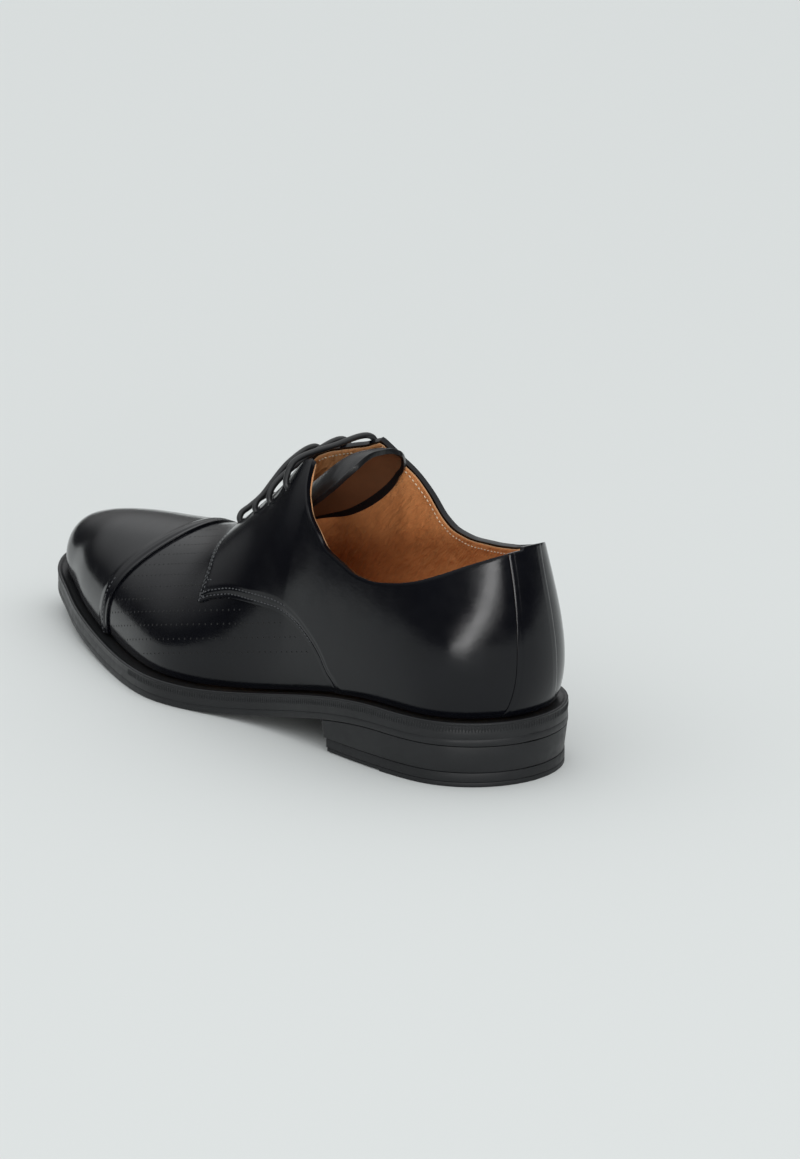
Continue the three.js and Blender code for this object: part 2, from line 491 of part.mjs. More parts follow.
// Tongue: the last's inner face under the facings, carried on past their top as a rounded end
function tongueSheet() {
  const depth = LINING_WALL + LACE_ROOM;
  const reaches = [...spread(THROAT + TONGUE_TUCK / LENGTH, FACING_TOP, 9), FACING_TOP];
  const ends = [0.2, 0.4, 0.6, 0.78, 0.91, 1];
  const across = 2 * TONGUE_STEPS + 1;
  const rows = reaches.map((share) => {
    const w = uTop(share);
    const narrow = lerp(1, 0.72, smoothstep(share, FACING_TOP, THROAT));
    return Array.from({ length: across }, (_, k) => {
      const a = k / TONGUE_STEPS - 1;
      const u = a < 0 ? -w : w;
      const reach = Math.abs(a) * narrow * (a < 0 ? TONGUE_INNER : TONGUE_OUTER);
      const t = a === 0 ? 1 : root((v) => sideOffset(lastPoint(u, v), u) - reach, 0.35, 1);
      const sag = TONGUE_SAG * (1 - smoothstep(share, FACING_TOP, THROAT)) + topRise(u) - topRise(w);
      const layer = (offset) => skin(u, t, offset).setZ(skin(u, t, offset).z - sag);
      return { outer: layer(-depth), inner: layer(-depth - TONGUE_WALL) };
    });
  });
  const base = rows[rows.length - 1];
  const middle = base[TONGUE_STEPS].outer.y;
  for (const end of ends) {
    const shrink = Math.sqrt(1 - (0.93 * end) ** 4);
    const shift = new THREE.Vector3(-TONGUE_BACK * end, 0, TONGUE_CLIMB * (2 * end - end * end));
    rows.push(base.map((_, k) => {
      const a = (k / TONGUE_STEPS - 1) * shrink;
      const at = (a + 1) * TONGUE_STEPS;
      const low = Math.min(Math.floor(at), across - 2);
      const flare = new THREE.Vector3(0, a * TONGUE_FLARE * smoothstep(end, 0, 0.7), 0);
      const mix = (face) => base[low][face].clone().lerp(base[low + 1][face], at - low).add(shift).add(flare);
      return { outer: mix('outer'), inner: mix('inner') };
    }));
  }
  const points = rows.flat();
  const columns = rows.map((_, i) => Array.from({ length: across }, (_, k) => i * across + k));
  return thicken(points, weave(columns));
}

// One bar of lace, arching from facing to facing over its pair of eyelets
function laceBar({ along, arch }) {
  const seat = LAY_GAP + LEATHER + 2 * GAP;
  const [outer, inner] = [1, -1].map((side) => {
    const { u, t } = eyeletAt(side, along);
    const lift = (part, height) => {
      const up = lerp(t, topEdge(u), part);
      return lastPoint(u, up).addScaledVector(lastNormal(u, up), seat + height);
    };
    return { hole: lift(0, 0), neck: lift(0, 1.6 * LACE_RADIUS), edge: lift(1, 1.7 * LACE_RADIUS) };
  });
  const middle = outer.edge.clone().lerp(inner.edge, 0.5);
  middle.z += arch;
  const path = new THREE.CatmullRomCurve3(
    [outer.hole, outer.neck, outer.edge, middle, inner.edge, inner.neck, inner.hole], false, 'centripetal');
  const section = new THREE.Shape(spread(0, 2 * Math.PI, 8).map((angle) => new THREE.Vector2(Math.cos(angle), Math.sin(angle)).multiplyScalar(LACE_RADIUS)));
  return new THREE.ExtrudeGeometry(section, { steps: LACE_STEPS, bevelEnabled: false, extrudePath: path });
}

// Sole layers: each ring is the outline moved inward, at a height that follows the shoe's length
const SOLE_STATIONS = [...spread(0, uAt(0.187), 8), ...spread(uAt(0.187), uAt(0.64), 14), ...spread(uAt(0.64), 1, 16), 1];
const ringOf = (stations, inset, height) => {
  const both = [...stations, ...stations.filter((u) => u > 0 && u < 1).map((u) => -u).reverse()];
  return both.map((u) => {
    const p = outline(u, inset);
    return new THREE.Vector3(p.x, p.y, height(p.x));
  });
};

// Rings joined from below upward; with caps the body is full, without them the last ring joins the first
function stack(rings, stations, capped = true) {
  const n = rings[0].length;
  const place = rings.flat().flatMap((p) => p.toArray());
  const index = [];
  const joins = capped ? rings.length - 1 : rings.length;
  for (let k = 0; k < joins; k++) {
    const low = k * n;
    const high = ((k + 1) % rings.length) * n;
    for (let i = 0; i < n; i++) {
      const next = (i + 1) % n;
      index.push(low + i, high + next, low + next, low + i, high + i, high + next);
    }
  }
  if (capped) {
    const mirror = (i) => (stations[0] === 0 ? (n - i) % n : n - 1 - i);
    for (let i = 0; i + 1 < stations.length; i++) {
      const strip = [[i, i + 1, mirror(i + 1)], [i, mirror(i + 1), mirror(i)]];
      strip.filter(([a, b, c]) => a !== b && b !== c && c !== a).forEach(([a, b, c]) => {
        const top = (rings.length - 1) * n;
        index.push(a, b, c, top + c, top + b, top + a);
      });
    }
  }
  return solid(place, index);
}

const up = (base, rise) => (x) => base(x) + rise;
const plate = (insets) => stack(insets.map(([inset, height]) => ringOf(SOLE_STATIONS, inset, height)), SOLE_STATIONS);

const outsole = plate([[OUTSOLE_BEVEL, underside], [0, up(underside, OUTSOLE_BEVEL)], [0, up(underside, OUTSOLE)]]);
const midsole = plate([[MIDSOLE_STEP, midsoleFloor], [MIDSOLE_STEP, up(midsoleFloor, MIDSOLE)]]);
const welt = stack([
  ringOf(SOLE_STATIONS, 0, weltFloor),
  ringOf(SOLE_STATIONS, 0, bed),
  ringOf(SOLE_STATIONS, WELT_BAND, bed),
  ringOf(SOLE_STATIONS, WELT_BAND, weltFloor),
], SOLE_STATIONS, false);
const filler = plate([[WELT_BAND + GAP, weltFloor], [WELT_BAND + GAP, bed]]);
const INSOLE_INSET = WELT_SHELF + LEATHER + GAP + LINING_WALL + 2 * GAP;
const insole = plate([[INSOLE_INSET, up(bed, GAP)], [INSOLE_INSET, up(bed, GAP + INSOLE)]]);

// Heel: the outline as far as its front face
function heelBody(levels) {
  const rings = levels.map(([inset, height, front]) => {
    const end = uAt(front / LENGTH);
    return ringOf([...spread(0, end, 16), end], inset, height);
  });
  return stack(rings, Array.from({ length: 17 }, (_, i) => i / 17));
}
const flat = (height) => () => height;
const topPiece = heelBody([
  [HEEL_TAPER + 0.5, flat(0), HEEL_LENGTH - HEEL_SLOPE],
  [HEEL_TAPER, flat(0.5), HEEL_LENGTH - HEEL_SLOPE],
  [HEEL_TAPER, flat(TOP_PIECE), HEEL_LENGTH - HEEL_SLOPE],
]);
const heelBlock = heelBody([
  [HEEL_TAPER, flat(TOP_PIECE + GAP), HEEL_LENGTH - HEEL_SLOPE],
  [GAP, up(underside, -GAP), HEEL_LENGTH],
]);

const BLACK = { color: 0x17181a, roughness: 0.35 };
const RUBBER = { color: 0x1c1d1f, roughness: 0.6 };
const TAN = { color: 0x9a6a45, roughness: 0.6 };
const PIECES = [
  { name: 'heel_top_piece', geometry: topPiece, look: RUBBER },
  { name: 'heel_block', geometry: heelBlock, look: RUBBER },
  { name: 'outsole', geometry: outsole, look: RUBBER },
  { name: 'midsole', geometry: midsole, look: RUBBER },
  { name: 'welt', geometry: welt, look: RUBBER },
  { name: 'filler', geometry: filler, look: TAN },
  { name: 'insole', geometry: insole, look: TAN },
  { name: 'upper', geometry: punch(upperSheet(), 0), look: BLACK },
  { name: 'toe_cap', geometry: capSheet(), look: BLACK },
  { name: 'quarter_outer', geometry: punch(quarterSheet(1), 1), look: BLACK },
  { name: 'quarter_inner', geometry: punch(quarterSheet(-1), -1), look: BLACK },
  { name: 'back_strap', geometry: strapSheet(), look: BLACK },
  { name: 'tongue', geometry: tongueSheet(), look: BLACK },
  ...EYELETS.map((pair, i) => ({ name: `lace_bar_${i + 1}`, geometry: laceBar(pair), look: BLACK })),
];

const shoe = new THREE.Group();
for (const { name, geometry, look } of PIECES) {
  const mesh = new THREE.Mesh(geometry, new THREE.MeshStandardMaterial({ metalness: 0, ...look }));
  mesh.name = name;
  shoe.add(mesh);
}

export default shoe;
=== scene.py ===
# %% [markdown]
# # A black derby shoe
# A derby is a lace-up whose facings are sewn on top of the vamp. This lesson dresses the plain solids of
# the left shoe in smooth leather, stitches, pinholes, a tan lining, round laces and a ribbed welt.
# The solids come in as a fixed frame first, so every new piece lies where the real one is made to lie.

# %% Load the frame
import math
import bmesh
import bpy
from functools import lru_cache
from mathutils import Matrix, Vector, noise
from mathutils.bvhtree import BVHTree
from mathutils.kdtree import KDTree
import numpy


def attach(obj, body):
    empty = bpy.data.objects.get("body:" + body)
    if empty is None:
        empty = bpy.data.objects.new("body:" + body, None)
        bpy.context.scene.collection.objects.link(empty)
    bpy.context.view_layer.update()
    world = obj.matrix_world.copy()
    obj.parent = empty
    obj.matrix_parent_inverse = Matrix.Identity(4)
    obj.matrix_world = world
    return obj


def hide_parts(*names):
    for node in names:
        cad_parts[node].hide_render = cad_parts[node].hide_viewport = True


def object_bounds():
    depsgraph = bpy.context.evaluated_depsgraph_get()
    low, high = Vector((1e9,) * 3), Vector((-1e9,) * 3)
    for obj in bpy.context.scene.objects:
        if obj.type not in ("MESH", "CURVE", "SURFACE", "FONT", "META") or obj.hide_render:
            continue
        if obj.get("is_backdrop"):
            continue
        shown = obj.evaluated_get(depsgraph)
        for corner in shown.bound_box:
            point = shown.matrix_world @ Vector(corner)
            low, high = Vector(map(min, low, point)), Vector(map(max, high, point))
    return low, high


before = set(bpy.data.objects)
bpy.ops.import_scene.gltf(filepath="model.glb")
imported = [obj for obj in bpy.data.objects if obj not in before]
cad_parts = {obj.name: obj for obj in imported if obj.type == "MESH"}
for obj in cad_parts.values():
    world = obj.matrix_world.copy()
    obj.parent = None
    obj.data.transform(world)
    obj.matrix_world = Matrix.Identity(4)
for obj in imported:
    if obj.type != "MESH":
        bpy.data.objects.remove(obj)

cad_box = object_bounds()
print("nodes:", len(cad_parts), "box:", [[round(v, 4) for v in corner] for corner in cad_box])

# %% [markdown]
# ## Camera
# The photo looks over the heel's outer side toward the toe, from about sixteen degrees above the floor.
# A long lens keeps the perspective flat, as in a catalogue picture. The camera comes first because the
# size of a stitch or a highlight only means something from where it is seen.

# %% Camera
MM = 0.001
CAMERA_PLACE = Vector((-1.3487, 1.1576, 0.5788))
CAMERA_AIM = Vector((0.20253, -0.13412, 0.0))
LENS = 155.7
camera_data = bpy.data.cameras.new("camera")
camera_data.lens = LENS
camera_data.sensor_width = 36
camera_data.clip_end = 50
camera = bpy.data.objects.new("camera", camera_data)
bpy.context.collection.objects.link(camera)
camera.location = CAMERA_PLACE
camera.rotation_euler = (CAMERA_AIM - CAMERA_PLACE).to_track_quat("-Z", "Y").to_euler()
bpy.context.scene.camera = camera
print("camera to shoe:", round((CAMERA_AIM - CAMERA_PLACE).length, 3), "m")

# %% [markdown]
# ## The last
# A shoe takes its shape from the last, the foot-shaped block on which the leather is pulled. Every piece
# of leather here is a patch of one surface, the last's, so that neighbours follow each other as sewn
# leather does. The surface is a loop of upright sections. Each section is one smooth curve from the
# welt at the foot to the crest of the shoe, and a short table says how the sections change along it.

# %% Driving sizes, in millimetres
LENGTH = 305
BALL_WIDTH = 100
HEEL_WIDTH = 75
HEEL_LIFT = 15.8
TOE_SPRING = 12
INSTEP_RISE = 88
COLLAR_RISE = 62.5
HEEL_POINT = 36
OUTSOLE = 3.0
MIDSOLE = 3.4
WELT = 2.4
WELT_SHELF = 4.3
WELT_BAND = 13
OUTSOLE_RIM = 0.7
TOP_PIECE = 5.4
HEEL_LENGTH = 78
HEEL_SLOPE = 1.5
HEEL_TAPER = 1.2
INSOLE = 3.0
LINING_WALL = 1.4
LEATHER = 1.2
LAY_GAP = 0.5
STRAP_LEATHER = 1.7
GAP = 0.3
THROAT_GAP = 7
ANKLE_GAP_OUTER = 19
ANKLE_GAP_INNER = 14.5
THROAT_ROUND = 5
EYELET_INSET = 5.6
LACE_RADIUS = 1.2
FACING_TOP = 0.385
THROAT = 0.557
CAP_FOOT = 0.730
CAP_CREST = 0.660
ARCH_START = 0.148
ARCH_END = 0.508
TREAD_END = 0.64
SPRING_CURVE = 1.9
print("outsole:", LENGTH, "by", BALL_WIDTH, "mm")

# %% [markdown]
# The table holds chosen shares, one row for each section from the heel to the toe: where it
# stands, how far each side reaches, and how high and how round it is. The short tables after it say
# where the collar, the quarter's front edge and the back strap are cut. Shares are used because a longer
# or wider shoe of the same last keeps them.

# %% The last's table
H = HEEL_WIDTH
B = BALL_WIDTH
LAST_COLUMNS = ("x", "width", "outer", "inner", "top_x", "top_y", "top_z", "in_top_z", "half", "in_half",
                "foot", "flare", "reach", "drop")
LAST_ROWS = [
    (0.0000, H, 0.000, 0.000, 0.0475, 0.000, 0.960, 0.960, 0.000, 0.000, 0.230, 0.098, 0.060, 0.386),
    (0.0085, H, 0.180, 0.180, 0.0560, 0.000, 0.960, 0.960, 0.085, 0.085, 0.230, 0.094, 0.060, 0.386),
    (0.0330, H, 0.333, 0.333, 0.0790, 0.000, 0.960, 0.960, 0.154, 0.154, 0.240, 0.084, 0.058, 0.386),
    (0.0710, H, 0.440, 0.434, 0.1120, 0.000, 0.960, 0.960, 0.192, 0.192, 0.250, 0.072, 0.056, 0.386),
    (0.1250, H, 0.491, 0.480, 0.1550, 0.000, 0.962, 0.962, 0.208, 0.208, 0.260, 0.064, 0.054, 0.380),
    (0.1870, H, 0.507, 0.490, 0.2050, 0.000, 0.966, 0.966, 0.211, 0.211, 0.260, 0.058, 0.056, 0.370),
    (0.2560, B, 0.380, 0.345, 0.2620, -0.010, 1.000, 1.000, 0.203, 0.225, 0.270, 0.054, 0.066, 0.350),
    (0.3210, B, 0.376, 0.315, 0.3200, -0.045, 1.042, 1.042, 0.170, 0.195, 0.280, 0.052, 0.110, 0.240),
    (0.3870, B, 0.384, 0.310, 0.3840, -0.085, 1.095, 1.105, 0.000, 0.000, 0.300, 0.052, 0.255, 0.020),
    (0.4460, B, 0.415, 0.340, 0.4430, -0.070, 0.930, 1.068, 0.000, 0.000, 0.280, 0.055, 0.240, 0.000),
    (0.5020, B, 0.460, 0.390, 0.4990, -0.060, 0.765, 0.920, 0.000, 0.000, 0.260, 0.058, 0.235, 0.000),
    (0.5570, B, 0.482, 0.445, 0.5550, -0.060, 0.625, 0.625, 0.000, 0.000, 0.240, 0.058, 0.225, 0.000),
    (0.6130, B, 0.458, 0.490, 0.6110, -0.068, 0.550, 0.550, 0.000, 0.000, 0.220, 0.056, 0.220, 0.000),
    (0.6720, B, 0.405, 0.515, 0.6700, -0.080, 0.504, 0.504, 0.000, 0.000, 0.210, 0.052, 0.218, 0.000),
    (0.7340, B, 0.340, 0.512, 0.7290, -0.090, 0.463, 0.463, 0.000, 0.000, 0.210, 0.048, 0.208, 0.000),
    (0.7970, B, 0.268, 0.492, 0.7870, -0.108, 0.420, 0.420, 0.000, 0.000, 0.200, 0.044, 0.190, 0.000),
    (0.8560, B, 0.192, 0.458, 0.8400, -0.125, 0.373, 0.373, 0.000, 0.000, 0.180, 0.042, 0.170, 0.000),
    (0.9080, B, 0.114, 0.414, 0.8820, -0.140, 0.327, 0.327, 0.000, 0.000, 0.155, 0.040, 0.125, 0.000),
    (0.9540, B, 0.042, 0.350, 0.9110, -0.150, 0.288, 0.288, 0.000, 0.000, 0.140, 0.038, 0.100, 0.000),
    (0.9850, B, -0.048, 0.268, 0.9250, -0.157, 0.266, 0.266, 0.000, 0.000, 0.135, 0.036, 0.100, 0.000),
    (1.0000, B, -0.160, 0.160, 0.9300, -0.160, 0.258, 0.258, 0.000, 0.000, 0.130, 0.036, 0.100, 0.000),
]
COLLAR_COLUMNS = ("along", "outer", "inner")
COLLAR_ROWS = [
    (-0.050, 1.080, 1.080), (0.000, 1.060, 1.060), (0.016, 1.020, 1.025), (0.036, 0.962, 0.985),
    (0.059, 0.902, 0.940), (0.085, 0.836, 0.890), (0.115, 0.776, 0.840), (0.148, 0.735, 0.800),
    (0.180, 0.716, 0.785), (0.213, 0.735, 0.790), (0.254, 0.811, 0.834), (0.285, 0.885, 0.920),
    (0.311, 0.986, 1.060), (0.341, 1.090, 1.235), (0.361, 1.216, 1.330), (0.374, 1.376, 1.390),
    (0.385, 1.550, 1.450), (0.410, 2.000, 1.600),
]
QUARTER_COLUMNS = ("along", "up")
QUARTER_ROWS = [
    (0.236, -0.200), (0.249, 0.020), (0.264, 0.085), (0.276, 0.150), (0.295, 0.216), (0.334, 0.308),
    (0.374, 0.360), (0.416, 0.383), (0.456, 0.395), (0.490, 0.376), (0.5115, 0.350), (0.5150, 0.400),
    (0.523, 0.473), (0.541, 0.530), (0.557, 0.610), (0.575, 0.720),
]
STRAP_COLUMNS = ("up", "outer", "inner")
STRAP_ROWS = [
    (-0.10, 0.165, 0.215), (0.00, 0.145, 0.200), (0.10, 0.122, 0.180), (0.25, 0.104, 0.165),
    (0.45, 0.092, 0.155), (0.65, 0.080, 0.145), (0.85, 0.074, 0.137), (1.20, 0.074, 0.137),
]


def table(columns, rows):
    """Rows of a table by the names of its columns."""
    return [dict(zip(columns, row)) for row in rows]


LAST = table(LAST_COLUMNS, LAST_ROWS)
print("sections of the last:", len(LAST))

# %% [markdown]
# Two kinds of smooth curve read the tables. One runs along the shoe and never overshoots its rows,
# which suits edges such as the collar. The other is closed and runs round the whole shoe, so the back of
# the heel and the tip of the toe are as smooth as the sides.

# %% Smooth curves through a table


def clamp(value, low, high):
    return max(low, min(high, value))


def lerp(a, b, share):
    return a + (b - a) * share


def smoothstep(value, low, high):
    share = clamp((value - low) / (high - low), 0, 1)
    return share * share * (3 - 2 * share)


def curve_of(rows, along, value):
    """A curve through the rows with no overshoot."""
    xs = [row[along] for row in rows]
    ys = [row[value] for row in rows]
    steps = [(ys[i + 1] - ys[i]) / (xs[i + 1] - xs[i]) for i in range(len(xs) - 1)]
    slopes = [steps[0]]
    for before, after in zip(steps, steps[1:]):
        slopes.append(0 if before * after <= 0 else 2 * before * after / (before + after))
    slopes.append(steps[-1])

    def at(place):
        x = clamp(place, xs[0], xs[-1])
        i = max(k for k in range(len(xs) - 1) if xs[k] <= x or k == 0)
        width = xs[i + 1] - xs[i]
        s = (x - xs[i]) / width
        rise = ys[i] * (1 + 2 * s) * (1 - s) ** 2 + ys[i + 1] * s * s * (3 - 2 * s)
        return rise + width * s * (1 - s) * (slopes[i] * (1 - s) - slopes[i + 1] * s)
    return at


def loop_spline(knots, values):
    """A smooth closed curve of one value, over a loop that is 2 long."""
    n = len(knots)
    step = [(knots[(i + 1) % n] - knots[i]) % 2 for i in range(n)]
    rise = [(values[(i + 1) % n] - values[i]) / step[i] for i in range(n)]
    rows = numpy.zeros((n, n))
    right = numpy.zeros(n)
    for i in range(n):
        rows[i, i - 1] += step[i - 1]
        rows[i, i] += 2 * (step[i - 1] + step[i])
        rows[i, (i + 1) % n] += step[i]
        right[i] = 6 * (rise[i] - rise[i - 1])
    bend = [float(v) for v in numpy.linalg.solve(rows, right)]

    def at(place):
        u = place + 2 if place < knots[0] else place
        i = n - 1
        while knots[i] > u:
            i -= 1
        after = (i + 1) % n
        b = (u - knots[i]) / step[i]
        a = 1 - b
        curve = ((a ** 3 - a) * bend[i] + (b ** 3 - b) * bend[after]) * step[i] ** 2 / 6
        return a * values[i] + b * values[after] + curve
    return at


def knots_of(rows):
    """How far round the half outline each row lies, from 0 at the heel to 1 at the toe."""
    far = [0]
    half = [row["width"] * (row["outer"] + row["inner"]) / 2 for row in rows]
    for i in range(1, len(rows)):
        far.append(far[-1] + math.hypot((rows[i]["x"] - rows[i - 1]["x"]) * LENGTH, half[i] - half[i - 1]))
    return [value / far[-1] for value in far]


for row, knot in zip(LAST, knots_of(LAST)):
    row["u"] = knot
INNER_SIDE = LAST[-2:0:-1]
LOOP = [-row["u"] for row in INNER_SIDE] + [row["u"] for row in LAST]


def loop_of(outer, inner=None):
    """A loop of one value, the outer side at +u and the inner side at -u."""
    return loop_spline(LOOP, [(inner or outer)(row) for row in INNER_SIDE] + [outer(row) for row in LAST])


print("loop of", len(LOOP), "sections; half outline", round(sum(row["u"] for row in LAST), 2))

# %% [markdown]
# Each column of the table becomes one closed curve round the shoe. A section is then four handles, foot,
# crest and one between for each, and the point at a share of the way up is worked out from them. This
# is one formula for the whole surface, so a stitch can ask for its place anywhere on the leather.

# %% Outline, crest and handles of the sections
at_length = lambda share: share * LENGTH - HEEL_POINT
share_of = lambda x: (x + HEEL_POINT) / LENGTH
edge_x = loop_of(lambda r: at_length(r["x"]))
edge_y = loop_of(lambda r: r["outer"] * r["width"], lambda r: -r["inner"] * r["width"])
top_x = loop_of(lambda r: at_length(r["top_x"]))
top_y = loop_of(lambda r: r["top_y"] * BALL_WIDTH)
top_half = loop_of(lambda r: r["half"] * BALL_WIDTH, lambda r: r["in_half"] * BALL_WIDTH)
outer_rise = loop_of(lambda r: r["top_z"] * INSTEP_RISE)
inner_rise = loop_of(lambda r: r["in_top_z"] * INSTEP_RISE)
foot_handle = loop_of(lambda r: r["foot"] * INSTEP_RISE)
flare_handle = loop_of(lambda r: r["flare"] * BALL_WIDTH)
reach_handle = loop_of(lambda r: r["reach"] * BALL_WIDTH)
drop_handle = loop_of(lambda r: r["drop"] * INSTEP_RISE)
collar_curve = {side: curve_of(table(COLLAR_COLUMNS, COLLAR_ROWS), "along", name)
                for side, name in ((1, "outer"), (-1, "inner"))}
strap_curve = {side: curve_of(table(STRAP_COLUMNS, STRAP_ROWS), "up", name)
               for side, name in ((1, "outer"), (-1, "inner"))}
quarter_curve = curve_of(table(QUARTER_COLUMNS, QUARTER_ROWS), "along", "up")
CLOSED = next(row["u"] for row in LAST if row["half"] == 0 and row["u"] > 0)
U_MEET = next(row["u"] for row in LAST if row["x"] >= THROAT)
print("section closes at", round(CLOSED, 3), "of the loop")


def underside(x):
    """Height of the outsole's underside: heel, arch, flat tread and toe spring."""
    share = share_of(x)
    arch = HEEL_LIFT * (1 - smoothstep(share, ARCH_START, ARCH_END))
    return arch + TOE_SPRING * clamp((share - TREAD_END) / (1 - TREAD_END), 0, 1.1) ** SPRING_CURVE


def bed(x):
    """Height of the welt's top, on which the upper stands."""
    return underside(x) + OUTSOLE + GAP + MIDSOLE + GAP + WELT


def wrap(u):
    return u - 2 if u > 1 else u + 2 if u < -1 else u


def outline(u, inset=0.0):
    """A point of the sole's outline moved inward, and the way out from it."""
    d = 1e-3
    dx = edge_x(wrap(u + d)) - edge_x(wrap(u - d))
    dy = edge_y(wrap(u + d)) - edge_y(wrap(u - d))
    size = math.hypot(dx, dy)
    out_x, out_y = dy / size, -dx / size
    if out_x * (edge_x(u) - at_length(0.4)) + out_y * edge_y(u) < 0:
        out_x, out_y = -out_x, -out_y
    return edge_x(u) - out_x * inset, edge_y(u) - out_y * inset, out_x, out_y


def top_rise(u):
    """Height of the crest over the bed; the inner half stands higher where the facings part."""
    w = abs(u)
    if u >= 0:
        return outer_rise(w)
    return lerp(inner_rise(w), outer_rise(w), smoothstep(w, U_MEET - 0.06, U_MEET))


def crest_slope(u):
    side = 1 if u >= 0 else -1
    before = side * max(abs(u) - 0.01, 0)
    after = side * min(abs(u) + 0.01, 1)
    rise = bed(top_x(after)) + top_rise(after) - bed(top_x(before)) - top_rise(before)
    return rise / (top_x(after) - top_x(before))


CLOSE_BLEND = 0.03
OPENING_SLOPE = {side: top_half(side * (CLOSED - CLOSE_BLEND)) / CLOSE_BLEND for side in (1, -1)}


def opening(u):
    """Half width of the ankle's opening, rounded off where the instep closes."""
    w = abs(u)
    if w <= CLOSED - CLOSE_BLEND:
        return top_half(u)
    return OPENING_SLOPE[1 if u >= 0 else -1] * max(CLOSED + CLOSE_BLEND - w, 0) ** 2 / (4 * CLOSE_BLEND)


def closed_fall(u):
    """How far the upper handle falls where it has to follow the crest's own slope."""
    return -crest_slope(u) * outline(u, WELT_SHELF + LEATHER + GAP)[2] * reach_handle(abs(u))


fall_handle = loop_spline(LOOP, [closed_fall(u) if abs(u) >= CLOSED else drop_handle(abs(u))
                                 for u in LOOP])


@lru_cache(maxsize=400000)
def section(u):
    """The four handles of the section at u."""
    x, y, out_x, out_y = outline(u, WELT_SHELF + LEATHER + GAP)
    w = abs(u)
    crest_x = top_x(w)
    half = opening(u)
    reach = reach_handle(w)
    closed = smoothstep(w, CLOSED, CLOSED + 2 * CLOSE_BLEND)
    fall = closed_fall(u) if closed == 1 else lerp(fall_handle(u), closed_fall(u) if closed else 0, closed)
    side = (u > 0) - (u < 0)
    flare = flare_handle(w)
    p0 = Vector((x, y, bed(x) + GAP))
    p3 = Vector((crest_x, top_y(w) + side * half, bed(crest_x) + top_rise(u)))
    p1 = p0 + Vector((out_x * flare, out_y * flare, foot_handle(w)))
    p2 = p3 + Vector((out_x * reach, out_y * reach, -fall))
    return p0, p1, p2, p3


def last_point(u, t):
    """The last's surface: u runs round the shoe, t from the welt to the crest or the open ankle."""
    p0, p1, p2, p3 = section(round(u, 6))
    s = 1 - t
    return p0 * s ** 3 + p1 * (3 * s * s * t) + p2 * (3 * s * t * t) + p3 * t ** 3


def last_normal(u, t):
    if t > 0.999 and abs(u) >= CLOSED:
        return Vector((-crest_slope(u), 0, 1)).normalized()
    d = 2e-3
    along = last_point(wrap(u + d), t) - last_point(wrap(u - d), t)
    up = last_point(u, min(t + d, 1)) - last_point(u, max(t - d, 0))
    normal = up.cross(along)
    normal.z *= smoothstep(t, 0, 0.06)
    return normal.normalized()


def skin(u, t, offset):
    """The surface moved out or in by offset, its lower edge kept on the bed."""
    p = last_point(u, t)
    floor = bed(p.x)
    p = p + last_normal(u, t) * offset
    p.z += (bed(p.x) - floor) * (1 - smoothstep(t, 0, 0.25))
    return p


print("instep:", [round(v, 1) for v in last_point(CLOSED, 1)])

# %% [markdown]
# The cuts of the pattern, such as collar, facing, quarter, back strap and toe cap, are found on the same
# surface. Each is where some height or distance passes zero, and halving the interval finds that.

# %% Where the pattern is cut


def root(f, low, high, passes=26):
    """Where a rising or falling function passes zero."""
    start = f(low)
    if start * f(high) > 0:
        return low if abs(start) < abs(f(high)) else high
    for _ in range(passes):
        middle = (low + high) / 2
        if f(middle) * start > 0:
            low = middle
        else:
            high = middle
    return (low + high) / 2


def u_at(share):
    return root(lambda u: edge_x(u) - at_length(share), 0, 1)


def u_top(share):
    return root(lambda u: top_x(u) - at_length(share), 0, 1)


U_ANKLE = u_at(0.3)
U_FACING = u_top(FACING_TOP)
U_THROAT = u_top(THROAT)


def side_offset(p, u):
    return abs(p.y - top_y(abs(u)))


def facing_gap(x, u):
    """From the crest to the facing's edge, closing to nothing at the throat."""
    share = clamp((share_of(x) - FACING_TOP) / (THROAT - FACING_TOP), 0, 1)
    end = clamp((at_length(THROAT) - x) / THROAT_ROUND, 0, 1)
    ankle = ANKLE_GAP_OUTER if u > 0 else ANKLE_GAP_INNER
    return lerp(ankle, THROAT_GAP, share) * math.sqrt(1 - (1 - end) ** 2)


def over_collar(p, side):
    return p.z - bed(p.x) - collar_curve[side](share_of(p.x)) * COLLAR_RISE


def over_quarter(p):
    return p.z - bed(p.x) - quarter_curve(share_of(p.x)) * INSTEP_RISE


@lru_cache(maxsize=100000)
def top_edge(u):
    """Where the upper ends on a section: collar, then facing, then the crest."""
    w = abs(u)
    if w >= U_THROAT:
        return 1.0
    collar = root(lambda t: over_collar(last_point(u, t), -1 if u < 0 else 1), 0.2, 1)
    if w < U_ANKLE:
        return collar
    facing = root(lambda t: side_offset(last_point(u, t), u) - facing_gap(last_point(u, t).x, u), 0.4, 1)
    return min(facing, collar)


@lru_cache(maxsize=100000)
def quarter_foot(u):
    """Where the quarter starts on a section."""
    if over_quarter(last_point(u, 0)) > 0:
        return 0.0
    return root(lambda t: over_quarter(last_point(u, t)), 0, top_edge(u))


def strap_edge(side, t):
    """How far round the heel the back strap reaches."""
    def beyond(w):
        p = last_point(side * w, t)
        return abs(p.y) - strap_curve[side]((p.z - bed(p.x)) / COLLAR_RISE) * HEEL_WIDTH
    return root(beyond, 0, 0.2, 18)


def cap_seam(side, t):
    share = lerp(CAP_FOOT, CAP_CREST, smoothstep(t, 0.2, 1))
    return root(lambda w: last_point(side * w, t).x - at_length(share), 0.4, 0.95, 18)


print("facing from", round(U_FACING, 3), "to", round(U_THROAT, 3), "of the half loop")

